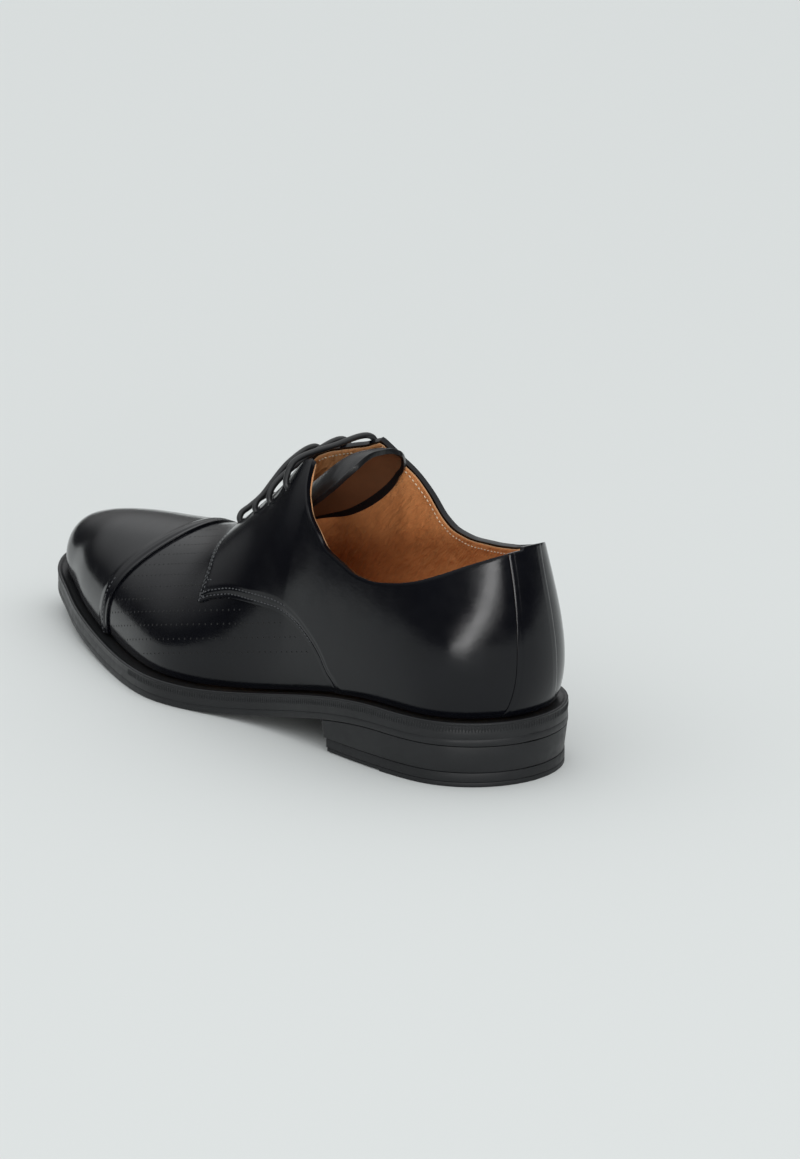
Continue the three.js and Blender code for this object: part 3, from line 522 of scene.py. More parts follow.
# %% [markdown]
# ## How a sheet of leather is laid
# A grid is the simplest start for a sheet: an operator makes it flat, and each of its points is then
# moved to its place on the last. Leather has a thickness and a worn, rounded rim, and the Solidify and
# Bevel modifiers give both. Sewn edges are pulled in along the thread, so each point is lifted off the
# last by an amount that depends on how far it is from the piece's edges.

# %% Helpers for sheets


def new_piece(name, mesh, slot, material, *stands_for):
    """Turn a bmesh into a finished object that rides with the shoe."""
    data = bpy.data.meshes.new(name)
    mesh.to_mesh(data)
    mesh.free()
    data.polygons.foreach_set("use_smooth", [True] * len(data.polygons))
    piece = bpy.data.objects.new(name, data)
    bpy.context.collection.objects.link(piece)
    materials = material if isinstance(material, (list, tuple)) else [material]
    for one in materials:
        data.materials.append(one)
    if stands_for:
        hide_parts(*stands_for)
    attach(piece, "root")
    return piece


def grid_mesh(columns, rows):
    """A flat grid, with each point's column and row."""
    mesh = bmesh.new()
    bmesh.ops.create_grid(mesh, x_segments=columns, y_segments=rows, size=1)
    places = {vert: (round((vert.co.x + 1) / 2 * columns), round((vert.co.y + 1) / 2 * rows))
              for vert in mesh.verts}
    return mesh, places


def both_ends_fine(share, fineness=0.35):
    """Spread steps so that they are closer at both ends."""
    return fineness * share + (1 - fineness) * (1 - math.cos(math.pi * share)) / 2


def distance_tree(points):
    tree = KDTree(len(points))
    for i, point in enumerate(points):
        tree.insert(point, i)
    tree.balance()
    return lambda p: tree.find(p)[2]


def groove(distance, at, width=0.5):
    """How deep a row of thread pulls the leather in, from 0 to 1."""
    return math.exp(-((distance - at) / width) ** 2)


def lay(mesh, places, place, lift, weld=0.02):
    """Move a grid onto the last. place gives u and t, lift gives millimetres off the surface."""
    for vert, (i, j) in places.items():
        u, t = place(i, j)
        vert.co = skin(u, t, lift(last_point(u, t), u, t)) * MM
        vert.normal = last_normal(u, t)
    middle = max(places, key=lambda v: -abs(places[v][0] - 10) - abs(places[v][1] - 10))
    outward = last_normal(*place(*places[middle]))
    bmesh.ops.remove_doubles(mesh, verts=mesh.verts, dist=weld * MM)
    mesh.normal_update()
    face = next(f for v in [middle] if v.is_valid for f in v.link_faces)
    if face.normal.dot(outward) < 0:
        bmesh.ops.reverse_faces(mesh, faces=mesh.faces)
    return mesh


def thicken(piece, wall, rim):
    """Give a sheet its wall, inward from the outer face, and a rounded rim."""
    solid = piece.modifiers.new("wall", "SOLIDIFY")
    solid.thickness = wall * MM
    solid.offset = -1
    solid.use_even_offset = False
    edge = piece.modifiers.new("rim", "BEVEL")
    edge.width = rim * MM
    edge.segments = 3
    edge.limit_method = "ANGLE"
    edge.angle_limit = math.radians(60)
    return piece


# %% [markdown]
# ## Materials
# Polished black calf is almost black by itself: what one sees is the light it mirrors, softened by a
# fine grain and by polish that is never quite even. The lining is tan leather, matt, with small
# wrinkles, and the creases of those wrinkles are painted a little darker as shade. Rubber is duller
# than leather, and its sheen breaks up on a fine moulded texture. All patterns are read in object
# coordinates, so they stay on the piece.

# %% Material helpers


def material_with(name, color, roughness):
    made = bpy.data.materials.new(name)
    made.use_nodes = True
    shader = made.node_tree.nodes["Principled BSDF"]
    shader.inputs["Base Color"].default_value = (*color, 1)
    shader.inputs["Roughness"].default_value = roughness
    return made, made.node_tree, shader


def pattern(tree, scale, detail=3, kind="ShaderNodeTexNoise", stretch=(1, 1, 1), turn=(0, 0, 0)):
    """A pattern in object coordinates, turned and then stretched; scale is in features per metre."""
    place = tree.nodes.new("ShaderNodeTexCoord")
    mapping = tree.nodes.new("ShaderNodeMapping")
    mapping.vector_type = "TEXTURE"
    mapping.inputs["Scale"].default_value = stretch
    mapping.inputs["Rotation"].default_value = turn
    made = tree.nodes.new(kind)
    made.inputs["Scale"].default_value = scale
    if "Detail" in made.inputs:
        made.inputs["Detail"].default_value = detail
    tree.links.new(place.outputs["Object"], mapping.inputs["Vector"])
    tree.links.new(mapping.outputs["Vector"], made.inputs["Vector"])
    return made.outputs["Distance" if kind == "ShaderNodeTexVoronoi" else "Fac"]


def span(tree, value, low, high, start=0.3, end=0.7):
    """Carry a pattern's values from start..end over to low..high."""
    made = tree.nodes.new("ShaderNodeMapRange")
    made.inputs["From Min"].default_value = start
    made.inputs["From Max"].default_value = end
    made.inputs["To Min"].default_value = low
    made.inputs["To Max"].default_value = high
    tree.links.new(value, made.inputs["Value"])
    return made.outputs["Result"]


def tint(tree, value, dark, light, start=0.3, end=0.7):
    """A colour that follows a pattern."""
    made = tree.nodes.new("ShaderNodeValToRGB")
    made.color_ramp.elements[0].position = start
    made.color_ramp.elements[0].color = (*dark, 1)
    made.color_ramp.elements[1].position = end
    made.color_ramp.elements[1].color = (*light, 1)
    tree.links.new(value, made.inputs["Fac"])
    return made.outputs["Color"]


def bumps(tree, shader, *layers):
    """Stack bumps on a shader: pairs of a height pattern and its depth in millimetres."""
    before = None
    for height, depth in layers:
        made = tree.nodes.new("ShaderNodeBump")
        made.inputs["Strength"].default_value = 1
        made.inputs["Distance"].default_value = depth * MM
        tree.links.new(height, made.inputs["Height"])
        if before:
            tree.links.new(before, made.inputs["Normal"])
        before = made.outputs["Normal"]
    tree.links.new(before, shader.inputs["Normal"])


def polished_calf(name, dark, light, rough_low, rough_high, grain=0.011, swell=0.06):
    made, tree, shader = material_with(name, dark, rough_low)
    cloud = pattern(tree, 45, 4)
    tree.links.new(tint(tree, cloud, dark, light), shader.inputs["Base Color"])
    tree.links.new(span(tree, pattern(tree, 160, 5), rough_low, rough_high), shader.inputs["Roughness"])
    shader.inputs["Coat Weight"].default_value = 0.07
    shader.inputs["Coat Roughness"].default_value = 0.10
    shader.inputs["Specular IOR Level"].default_value = 0.25
    pores = pattern(tree, 1500, kind="ShaderNodeTexVoronoi")
    bumps(tree, shader, (pattern(tree, 90, 2), swell), (pattern(tree, 700, 4), grain),
          (pores, grain * 0.6))
    return made


BLACK_CALF = polished_calf("black_calf", (0.0022, 0.0024, 0.0038), (0.0034, 0.0037, 0.0056), 0.13, 0.20)
TONGUE_CALF = polished_calf("tongue_calf", (0.005, 0.0052, 0.006), (0.008, 0.0083, 0.0095), 0.26, 0.36,
                            0.03, 0.35)


def lining_leather():
    made, tree, shader = material_with("tan_lining", (0.42, 0.16, 0.06), 0.52)
    cloud = pattern(tree, 38, 5)
    tan = tint(tree, cloud, (0.62, 0.240, 0.080), (0.80, 0.350, 0.130))
    tree.links.new(span(tree, pattern(tree, 220, 4), 0.42, 0.60), shader.inputs["Roughness"])
    wrinkle = pattern(tree, 620, 4, stretch=(3.6, 1.5, 1), turn=(0, 0.75, 0.2))
    fold = pattern(tree, 120, 3, stretch=(3.2, 1.5, 1), turn=(0, 0.6, 0.1))
    # The wrinkle pattern also darkens the tan in its creases: painted shade of the folds, on top of their
    # bumps.
    crease_shade = tree.nodes.new("ShaderNodeMix")
    crease_shade.data_type = "RGBA"
    crease_shade.blend_type = "MULTIPLY"
    crease_shade.inputs["Factor"].default_value = 0.2
    tree.links.new(tan, crease_shade.inputs[6])
    tree.links.new(tint(tree, wrinkle, (0.55, 0.5, 0.45), (1, 1, 1), 0.36, 0.52), crease_shade.inputs[7])
    tree.links.new(crease_shade.outputs[2], shader.inputs["Base Color"])
    bumps(tree, shader, (fold, 1.6), (wrinkle, 1.0), (pattern(tree, 1300, 3), 0.03))
    return made


def sole_rubber(name, color, roughness, depth):
    made, tree, shader = material_with(name, color, roughness)
    cloud = pattern(tree, 60, 4)
    light = tuple(value * 1.35 for value in color)
    tree.links.new(tint(tree, cloud, color, light), shader.inputs["Base Color"])
    tree.links.new(span(tree, pattern(tree, 350, 4), roughness - 0.05, roughness + 0.07),
                   shader.inputs["Roughness"])
    shader.inputs["Specular IOR Level"].default_value = 0.27
    bumps(tree, shader, (pattern(tree, 900, 3), depth))
    return made


def thread(name, color, roughness=0.6):
    made, tree, shader = material_with(name, color, roughness)
    light = tuple(min(value * 1.5, 1) for value in color)
    tree.links.new(tint(tree, pattern(tree, 900, 2), color, light), shader.inputs["Base Color"])
    bumps(tree, shader, (pattern(tree, 2600, 2), 0.04))
    return made


TAN_LINING = lining_leather()
# The tongue's inside is the lining's tan painted much darker: painted shade of the place the tongue lies
# in.
TONGUE_SHADED_TAN = sole_rubber("tongue_tan_painted_shade", (0.11, 0.048, 0.022), 0.5, 0.03)
EDGE_TAN = sole_rubber("raw_tan_edge", (0.42, 0.24, 0.12), 0.7, 0.03)
SOLE_RUBBER = sole_rubber("sole_rubber", (0.013, 0.0135, 0.0145), 0.40, 0.015)
HEEL_RUBBER = sole_rubber("heel_rubber", (0.012, 0.0125, 0.0135), 0.46, 0.02)
WELT_BLACK = sole_rubber("welt_black", (0.010, 0.0105, 0.0115), 0.34, 0.015)
INSOLE_TAN = sole_rubber("insole_tan", (0.36, 0.19, 0.095), 0.5, 0.02)
CORK = sole_rubber("cork", (0.30, 0.19, 0.10), 0.9, 0.2)
BLACK_THREAD = thread("black_thread", (0.034, 0.036, 0.040), 0.42)
CREAM_THREAD = thread("cream_thread", (0.62, 0.52, 0.38))
LACE_CORD = thread("lace_cord", (0.008, 0.0085, 0.0095), 0.36)
# Near black and matt: painted shade for the inside of holes, laid as flat discs over the leather.
HOLE_SHADE = thread("hole_painted_shade", (0.004, 0.004, 0.004), 0.9)
print("materials:", len(bpy.data.materials))

# %% [markdown]
# ## Vamp
# The vamp is the front of the upper: one piece of calf pulled over the toe, which runs under the cap and
# under both quarters. It is laid from one side of the waist round the toe to the other, and its two
# halves meet in the crest, where their points are merged.

# %% Vamp
VAMP_BACK = u_at(0.215)
VAMP_HALF = 150
VAMP_ROWS = 56
VAMP_TUCK = 0.14
VAMP_LIFT = 0.15
vamp_stations = [lerp(VAMP_BACK, 1, i / VAMP_HALF) for i in range(VAMP_HALF + 1)]
vamp_stations += [-u for u in reversed(vamp_stations[:-1])]
mesh, places = grid_mesh(2 * VAMP_HALF, VAMP_ROWS)


def vamp_place(i, j):
    u = vamp_stations[i]
    under_quarter = 1.0 if abs(u) >= U_THROAT else quarter_foot(u) + VAMP_TUCK
    return u, min(top_edge(u), under_quarter) * j / VAMP_ROWS


lay(mesh, places, vamp_place, lambda p, u, t: VAMP_LIFT)
vamp = new_piece("vamp", mesh, "upper_leather", BLACK_CALF, "upper")
thicken(vamp, 0.6, 0.15)
print("vamp faces:", len(vamp.data.polygons))

# %% [markdown]
# ## Toe cap
# The cap is a second layer of calf over the toe. Its rear edge is turned and sewn down with two rows, so
# it shows as a raised lip with two shallow furrows. The steps of its grid are closer at that edge.

# %% Toe cap
CAP_HALF = 110
CAP_ROWS = 60
CAP_TOP = LAY_GAP + LEATHER
CAP_ROWS_OF_THREAD = (1.5, 4.0)
CAP_PULL = 0.12
CAP_FADE = 0.12
CAP_THINS = (5, 9)
SKIVE_DEEP = 0.65
SKIVE_WIDE = 4.5
SEAM_SAMPLES = 240
cap_start = cap_seam(1, 0)


def cap_station(i):
    """Half loop place and side of a column, closer together at the seam."""
    share = i / CAP_HALF if i <= CAP_HALF else (2 * CAP_HALF - i) / CAP_HALF
    eased = 0.25 * share + 0.75 * share ** 1.7
    return cap_start + (1 - cap_start) * eased, 1 if i <= CAP_HALF else -1


def cap_place(i, j):
    w, side = cap_station(i)
    t = j / CAP_ROWS
    fade = 1 - smoothstep(w, cap_start, cap_start + CAP_FADE)
    return side * (w + (cap_seam_at[side][j] - cap_start) * fade), t


cap_seam_at = {side: [cap_seam(side, j / CAP_ROWS) for j in range(CAP_ROWS + 1)] for side in (1, -1)}
seam_shares = [k / SEAM_SAMPLES for k in range(SEAM_SAMPLES + 1)]
cap_edge = [last_point(side * cap_seam(side, t), t) for side in (1, -1) for t in seam_shares]
cap_distance = distance_tree(cap_edge)


def cap_lift(p, u, t):
    d = cap_distance(p)
    pulled = CAP_PULL * sum(groove(d, at) for at in CAP_ROWS_OF_THREAD)
    skived = SKIVE_DEEP * (1 - smoothstep(d, 0, SKIVE_WIDE)) + 0.3 * smoothstep(d, *CAP_THINS)
    return CAP_TOP - skived - pulled


mesh, places = grid_mesh(2 * CAP_HALF, CAP_ROWS)
lay(mesh, places, cap_place, cap_lift)
toe_cap = new_piece("toe_cap_leather", mesh, "upper_leather", BLACK_CALF, "toe_cap")
thicken(toe_cap, 1.0, 0.22)
print("toe cap faces:", len(toe_cap.data.polygons))

# %% [markdown]
# ## Quarters
# The two quarters wrap the heel and carry the eyelets. Their front edge lies on the vamp, sewn with two
# rows, and the collar and facing are turned and sewn with one. The grid follows the two edges, from
# the quarter's foot up to the collar or facing, and is finer along both.

# %% Quarters
QUARTER_COLS = 240
QUARTER_ROWS_COUNT = 64
QUARTER_TOP = LAY_GAP + LEATHER
FRONT_THREADS = (1.5, 3.9)
FRONT_PULL = 0.14
FRONT_CLEAR = 1.5
COLLAR_THREAD = 2.3
COLLAR_ROUND = 0.12
QUARTER_END = U_THROAT - 0.004
STRAP_FADE = 0.15


def quarter_sheet(name, side, stands_for):
    start = strap_edge(side, 0.5)
    rows = QUARTER_ROWS_COUNT

    @lru_cache(maxsize=None)
    def place(i, j):
        w = lerp(start, QUARTER_END, i / QUARTER_COLS)
        t = 0.5
        u = side * w
        for _ in range(3 if w < start + STRAP_FADE else 1):
            fade = 1 - smoothstep(w, start, start + STRAP_FADE)
            u = side * (w + ((strap_edge(side, round(t, 2)) - start) * fade if fade > 0 else 0))
            u = round(u, 4) if fade > 0 else u
            t = lerp(quarter_foot(u), top_edge(u), both_ends_fine(j / rows))
        return u, t

    columns = range(QUARTER_COLS + 1)
    foot = [last_point(*place(i, 0)) for i in columns]
    top = [last_point(*place(i, rows)) for i in columns]
    dense = lambda line: [a.lerp(b, k / 3) for a, b in zip(line, line[1:]) for k in range(3)]
    front_at = distance_tree([p for p in dense(foot) if p.z - bed(p.x) > FRONT_CLEAR])
    top_at = distance_tree(dense(top))

    def lift(p, u, t):
        front = front_at(p)
        collar = top_at(p)
        pulled = FRONT_PULL * sum(groove(front, at) for at in FRONT_THREADS)
        skived = SKIVE_DEEP * (1 - smoothstep(front, 0, SKIVE_WIDE))
        rounded = COLLAR_ROUND * (1 - smoothstep(collar, 0, 1.0))
        return QUARTER_TOP - pulled - skived - rounded

    mesh, places = grid_mesh(QUARTER_COLS, rows)
    lay(mesh, places, place, lift)
    piece = new_piece(name, mesh, "upper_leather", BLACK_CALF, stands_for)
    thicken(piece, 2.1, 0.3)
    print(name, "faces:", len(piece.data.polygons))
    return piece, foot, top


outer_quarter, outer_foot, outer_top = quarter_sheet("outer_quarter_leather", 1, "quarter_outer")
inner_quarter, inner_foot, inner_top = quarter_sheet("inner_quarter_leather", -1, "quarter_inner")

# %% [markdown]
# ## Back strap
# A strip of calf covers the seam at the back of the heel. It is the last piece sewn on, so it stands
# proud of the quarters, and its top is turned over the collar a little above them.

# %% Back strap
STRAP_COLS = 28
STRAP_ROWS_COUNT = 90
STRAP_TOP = LAY_GAP + STRAP_LEATHER
STRAP_THREAD = 1.5
STRAP_PULL = 0.16
STRAP_EDGE_PULL = 0.25
STRAP_LEVELS = 40
strap_width = {side: [strap_edge(side, k / STRAP_LEVELS) for k in range(STRAP_LEVELS + 2)]
               for side in (1, -1)}


def strap_place(i, j):
    across = 2 * i / STRAP_COLS - 1
    side = 1 if across >= 0 else -1
    t = 0.5
    for _ in range(3):
        k = clamp(t, 0, 1) * STRAP_LEVELS
        low = int(k)
        width = lerp(strap_width[side][low], strap_width[side][low + 1], k - low)
        u = across * width
        t = top_edge(round(u, 5)) * j / STRAP_ROWS_COUNT
    return u, t


def strap_lift(p, u, t):
    side = 1 if u >= 0 else -1
    d = max(strap_curve[side]((p.z - bed(p.x)) / COLLAR_RISE) * HEEL_WIDTH - abs(p.y), 0)
    return STRAP_TOP - STRAP_PULL * groove(d, STRAP_THREAD) - STRAP_EDGE_PULL * groove(d, 0)


mesh, places = grid_mesh(STRAP_COLS, STRAP_ROWS_COUNT)
lay(mesh, places, strap_place, strap_lift)
strap = new_piece("back_strap_leather", mesh, "upper_leather", BLACK_CALF, "back_strap")
thicken(strap, 2.0, 0.5)
print("strap faces:", len(strap.data.polygons))

# %% [markdown]
# ## Lining
# The foot sees tan leather: a second skin inside the upper, cut a little lower than the collar so that
# its raw edge shows as a light line. It creases where it was pulled over the last, mostly slantwise.

# %% Lining
LINING_HALF = 170
LINING_ROWS = 60
LINING_DROP = 0.009
LINING_SHEET = 0.85
LINING_SKIVED = 0.45
lining_half = [i / LINING_HALF for i in range(LINING_HALF + 1)]
lining_stations = lining_half + [-u for u in reversed(lining_half[:-1])]


def lining_place(i, j):
    u = lining_stations[i]
    edge = top_edge(u)
    t = edge * j / LINING_ROWS if edge >= 1 else (edge - LINING_DROP) * j / LINING_ROWS
    return u, t


def crease(p):
    """Small slanting folds of the lining, in millimetres."""
    fold = Vector((p.x * 0.11 + p.z * 0.10, p.y * 0.10, p.z * 0.34 - p.x * 0.12))
    return 0.22 * noise.noise(fold) + 0.10 * noise.noise(fold * 2.3)


mesh, places = grid_mesh(2 * LINING_HALF, LINING_ROWS)
lay(mesh, places, lining_place, lambda p, u, t: -LINING_WALL + crease(p))
rim_verts = {vert.index for vert in mesh.verts if vert.is_boundary}
lining = new_piece("lining", mesh, "upper_leather", [TAN_LINING, EDGE_TAN], "upper")
skived = lining.vertex_groups.new(name="skived")
skived.add([vert.index for vert in lining.data.vertices], 1.0, "REPLACE")
skived.add(sorted(rim_verts), LINING_SKIVED, "REPLACE")
wall = lining.modifiers.new("wall", "SOLIDIFY")
wall.thickness = LINING_SHEET * MM
wall.offset = 1
wall.vertex_group = skived.name
wall.material_offset_rim = 1
print("lining faces:", len(lining.data.polygons))

# %% [markdown]
# ## Sole
# Under the upper lie the welt, the midsole, the outsole and the stacked heel. Each is a plate cut to the
# same outline. A grid is stretched between the two sides of the outline, which gives even faces from
# heel to toe, and is then extruded down to its lower face and beveled along the rim.

# %% Plates of the sole
SOLE_STEPS = 220
SOLE_ACROSS = 10


def plate(inset, top, bottom, rim, end=1.0, steps=SOLE_STEPS):
    """A plate between two heights that follow the shoe's length."""
    mesh, places = grid_mesh(steps, SOLE_ACROSS)
    for vert, (i, j) in places.items():
        u = end * i / steps
        outer_x, outer_y, _, _ = outline(u, inset)
        inner_x, inner_y, _, _ = outline(-u if 0 < u < 1 else u, inset)
        x = lerp(outer_x, inner_x, j / SOLE_ACROSS)
        vert.co = Vector((x, lerp(outer_y, inner_y, j / SOLE_ACROSS), top(x))) * MM
    bmesh.ops.remove_doubles(mesh, verts=mesh.verts, dist=0.01 * MM)
    mesh.normal_update()
    if sum(face.normal.z for face in mesh.faces) < 0:
        bmesh.ops.reverse_faces(mesh, faces=mesh.faces)
    grown = bmesh.ops.extrude_face_region(mesh, geom=mesh.faces[:])
    lower = [item for item in grown["geom"] if isinstance(item, bmesh.types.BMVert)]
    for vert in lower:
        vert.co.z = bottom(vert.co.x / MM) * MM
    bmesh.ops.recalc_face_normals(mesh, faces=mesh.faces)
    sharp = [edge for edge in mesh.edges if len(edge.link_faces) == 2
             and edge.calc_face_angle() > math.radians(50)]
    bmesh.ops.bevel(mesh, geom=sharp, offset=rim * MM, segments=2, profile=0.5, affect="EDGES",
                    material=-1)
    return mesh


def crisp(piece, angle=35):
    piece.data.set_sharp_from_angle(angle=math.radians(angle))
    return piece


up = lambda base, rise: (lambda x: base(x) + rise)
midsole_floor = up(underside, OUTSOLE)
welt_floor = up(underside, OUTSOLE + GAP + MIDSOLE)

outsole = crisp(new_piece("outsole_plate", plate(0.0, midsole_floor, underside, OUTSOLE_RIM),
                          "sole_rubber", SOLE_RUBBER, "outsole"))
midsole = crisp(new_piece("midsole_plate", plate(0.1, welt_floor, up(midsole_floor, -0.16), 0.06),
                          "midsole_edge", SOLE_RUBBER, "midsole"))
insole_inset = WELT_SHELF + LEATHER + GAP + LINING_WALL + 2 * GAP
insole = crisp(new_piece("insole_sock", plate(insole_inset, up(bed, GAP + INSOLE), up(bed, GAP), 0.4),
                         "insole_leather", INSOLE_TAN, "insole"))
print("sole plates:", [len(p.data.polygons) for p in (outsole, midsole, insole)])

# %% [markdown]
# ### Welt
# The welt is a strip sewn round the foot of the upper. Its top is sunk next to the upper and ends in a
# rounded lip, and from the waist back round the heel a hot wheel has pressed fine ribs into that lip.
# The strip's section is drawn once as a closed profile and repeated round the outline, which is what
# a loft does: neighbouring profiles are then bridged.

# %% Welt
WELT_PROFILE = (
    (0.10, -0.28), (0.10, 1.25), (0.12, 1.45), (0.00, 1.60), (-0.02, 1.90), (0.10, 2.20), (0.40, 2.42),
    (0.85, 2.44), (1.30, 2.30), (1.70, 2.05), (2.20, 1.90), (WELT_BAND, 1.90), (WELT_BAND, -0.28),
)
WELT_STEPS = 520


def ring_profile(mesh, u, profile, base):
    verts = []
    for inset, rise in profile:
        x, y, _, _ = outline(u, inset)
        verts.append(mesh.verts.new(Vector((x, y, base(x) + rise)) * MM))
    return [mesh.edges.new((a, b)) for a, b in zip(verts, verts[1:] + verts[:1])]


def loft_round(profile, base, steps):
    """Repeat a closed profile round the outline and bridge each to the next."""
    mesh = bmesh.new()
    rings = [ring_profile(mesh, wrap(-1 + 2 * k / steps), profile, base) for k in range(steps)]
    for before, after in zip(rings, rings[1:] + rings[:1]):
        bmesh.ops.bridge_loops(mesh, edges=before + after)
    bmesh.ops.recalc_face_normals(mesh, faces=mesh.faces)
    return mesh


welt = crisp(new_piece("welt_strip", loft_round(WELT_PROFILE, welt_floor, WELT_STEPS), "welt_leather",
                       WELT_BLACK, "welt"), 50)
print("welt faces:", len(welt.data.polygons))

# %% [markdown]
# The ribs are far narrower than the welt's own steps, so they are separate small beads, half sunk in the
# lip. One low sphere, pressed flat, is set at each step of a fixed pitch round the back of the outline,
# because the wheel that makes them turns at a fixed pitch too.

# %% Ribs of the welt
RIB_PITCH = 1.15
RIB_WIDE = 0.62
RIB_HIGH = 2.7
RIB_DEEP = 0.5
RIB_LIFT = 0.05
RIB_REACH = 0.62
RIB_INSET = 0.13
RIB_SAMPLES = 6000


def rib_places():
    """Points round the back of the shoe, one rib pitch apart."""
    reach = u_at(RIB_REACH)
    found = []
    last = None
    for k in range(RIB_SAMPLES + 1):
        u = lerp(-reach, reach, k / RIB_SAMPLES)
        x, y, out_x, out_y = outline(u, RIB_INSET)
        here = Vector((x, y))
        if last is None or (here - last).length >= RIB_PITCH:
            found.append((x, y, out_x, out_y))
            last = here
    return found


ribs = rib_places()
mesh = bmesh.new()
for x, y, out_x, out_y in ribs:
    turn = Matrix.Rotation(math.atan2(out_y, out_x) - math.pi / 2, 4, "Z")
    place = Matrix.Translation(Vector((x, y, welt_floor(x) + RIB_LIFT)) * MM)
    size = Matrix.Diagonal((RIB_WIDE / 2 * MM, RIB_DEEP / 2 * MM, RIB_HIGH / 2 * MM, 1))
    bmesh.ops.create_uvsphere(mesh, u_segments=8, v_segments=6, radius=1, matrix=place @ turn @ size)
new_piece("welt_ribs", mesh, "welt_leather", WELT_BLACK)
print("ribs:", len(ribs))

# %% [markdown]
# ### Heel
# The heel is stacked from lifts that are glued and trimmed together, which leaves fine lines round it.
# The rubber top piece is thickest at the back, where a shoe wears first, and its front part is set
# back a little.

# %% Heel
HEEL_STEPS = 90
HEEL_RIM = 0.18
HEEL_MIDDLE = 0.12
NOTCH = 1.9
WEAR_BACK = 46
WEAR_STEP = 0.35
heel_seat = up(underside, -0.12)
level = lambda height: (lambda x: height)


def heel_lift(bottom, top, inset, front, taper=0):
    """One lift of the heel; its front face is straight across, and a taper draws its foot in."""
    mesh = plate(inset, top, bottom, HEEL_RIM, u_at(front / LENGTH), HEEL_STEPS)
    reach = heel_seat(0) - TOP_PIECE
    middle_x = at_length(HEEL_MIDDLE)
    for vert in mesh.verts if taper else ():
        down = clamp((heel_seat(vert.co.x / MM) - vert.co.z / MM) / reach, 0, 1)
        flat = Vector((vert.co.x / MM - middle_x, vert.co.y / MM, 0))
        if flat.length > 1:
            vert.co -= flat.normalized() * down * taper * MM
    return mesh


block_mesh = heel_lift(level(TOP_PIECE + 0.15), heel_seat, 0.2, HEEL_LENGTH, HEEL_TAPER)
top_mesh = heel_lift(level(NOTCH), level(TOP_PIECE), HEEL_TAPER, HEEL_LENGTH - HEEL_SLOPE)
front_mesh = heel_lift(level(WEAR_STEP), level(NOTCH - 0.15), HEEL_TAPER + 0.3,
                       HEEL_LENGTH - HEEL_SLOPE - 0.2)
back_mesh = heel_lift(level(0.0), level(NOTCH - 0.1), HEEL_TAPER, WEAR_BACK)
block = crisp(new_piece("heel_stack", block_mesh, "heel_stack", SOLE_RUBBER, "heel_block"))
top_piece = crisp(new_piece("top_piece", top_mesh, "heel_rubber", HEEL_RUBBER, "heel_top_piece"))
wear_front = crisp(new_piece("top_piece_front", front_mesh, "heel_rubber", HEEL_RUBBER))
wear_back = crisp(new_piece("top_piece_back", back_mesh, "heel_rubber", HEEL_RUBBER))
print("heel pieces:", [len(p.data.polygons) for p in (block, top_piece, wear_front, wear_back)])

# %% [markdown]
# ## Tongue
# The tongue lies under the facings and is cupped by the instep. It is black calf outside and tan inside,
# that tan painted darker than the lining's as the shade it lies in, and its free end is rounded and
# bound with black. Its grid runs from the throat back to the free end.

# %% Tongue
TONGUE_OUTER = 24
TONGUE_INNER = 18.5
TONGUE_FLARE = 3
TONGUE_TUCK = 9
TONGUE_BACK = 18
TONGUE_CLIMB = 5
TONGUE_SAG = 8
TONGUE_WALL = 2.0
LACE_ROOM = 1.1
TONGUE_COLS = 60
TONGUE_LAID = 50
TONGUE_FREE = 30
TONGUE_DEPTH = LINING_WALL + LACE_ROOM
TONGUE_BINDING = 1.6
TONGUE_EASE = 14
TONGUE_NARROW = 0.72
TONGUE_ROUND = 0.93
TONGUE_PASSES = 14
TONGUE_RIM = 0.8


@lru_cache(maxsize=None)
def tongue_laid(row, k):
    """A point of the tongue's outer face where it lies under the facings."""
    share = lerp(THROAT + TONGUE_TUCK / LENGTH, FACING_TOP, row / TONGUE_LAID)
    w = u_top(share)
    narrow = lerp(1, TONGUE_NARROW, smoothstep(share, FACING_TOP, THROAT))
    a = 2 * k / TONGUE_COLS - 1
    u = -w if a < 0 else w
    goal = abs(a) * narrow * (TONGUE_INNER if a < 0 else TONGUE_OUTER)
    t = 1 if abs(a) < 1e-9 else root(lambda v: side_offset(last_point(u, v), u) - goal, 0.35, 1)
    sag = TONGUE_SAG * (1 - smoothstep(share, FACING_TOP, THROAT)) + top_rise(u) - top_rise(w)
    return skin(u, t, -TONGUE_DEPTH) - Vector((0, 0, sag))


@lru_cache(maxsize=None)
def tongue_point(row, k):
    """A point of the outer face, under the facings or on the free end."""
    if row <= TONGUE_LAID:
        return tongue_laid(row, k)
    end = ((row - TONGUE_LAID) / TONGUE_FREE) ** 0.8
    shrink = math.sqrt(1 - (TONGUE_ROUND * end) ** 4)
    a = (2 * k / TONGUE_COLS - 1) * shrink
    at = (a + 1) * TONGUE_COLS / 2
    low = min(int(at), TONGUE_COLS - 1)
    base = tongue_laid(TONGUE_LAID, low).lerp(tongue_laid(TONGUE_LAID, low + 1), at - low)
    flare = a * TONGUE_FLARE * smoothstep(end, 0, 0.7)
    return base + Vector((-TONGUE_BACK * end, flare, TONGUE_CLIMB * (2 * end - end * end)))


def eased_point(row, k):
    """The mean of the places before and after, so that the tongue leaves the facings in one bow."""
    reach = min(TONGUE_EASE, row, TONGUE_LAID + TONGUE_FREE - row)
    near = [tongue_point(r, k) for r in range(row - reach, row + reach + 1)]
    return sum(near, Vector()) / len(near)


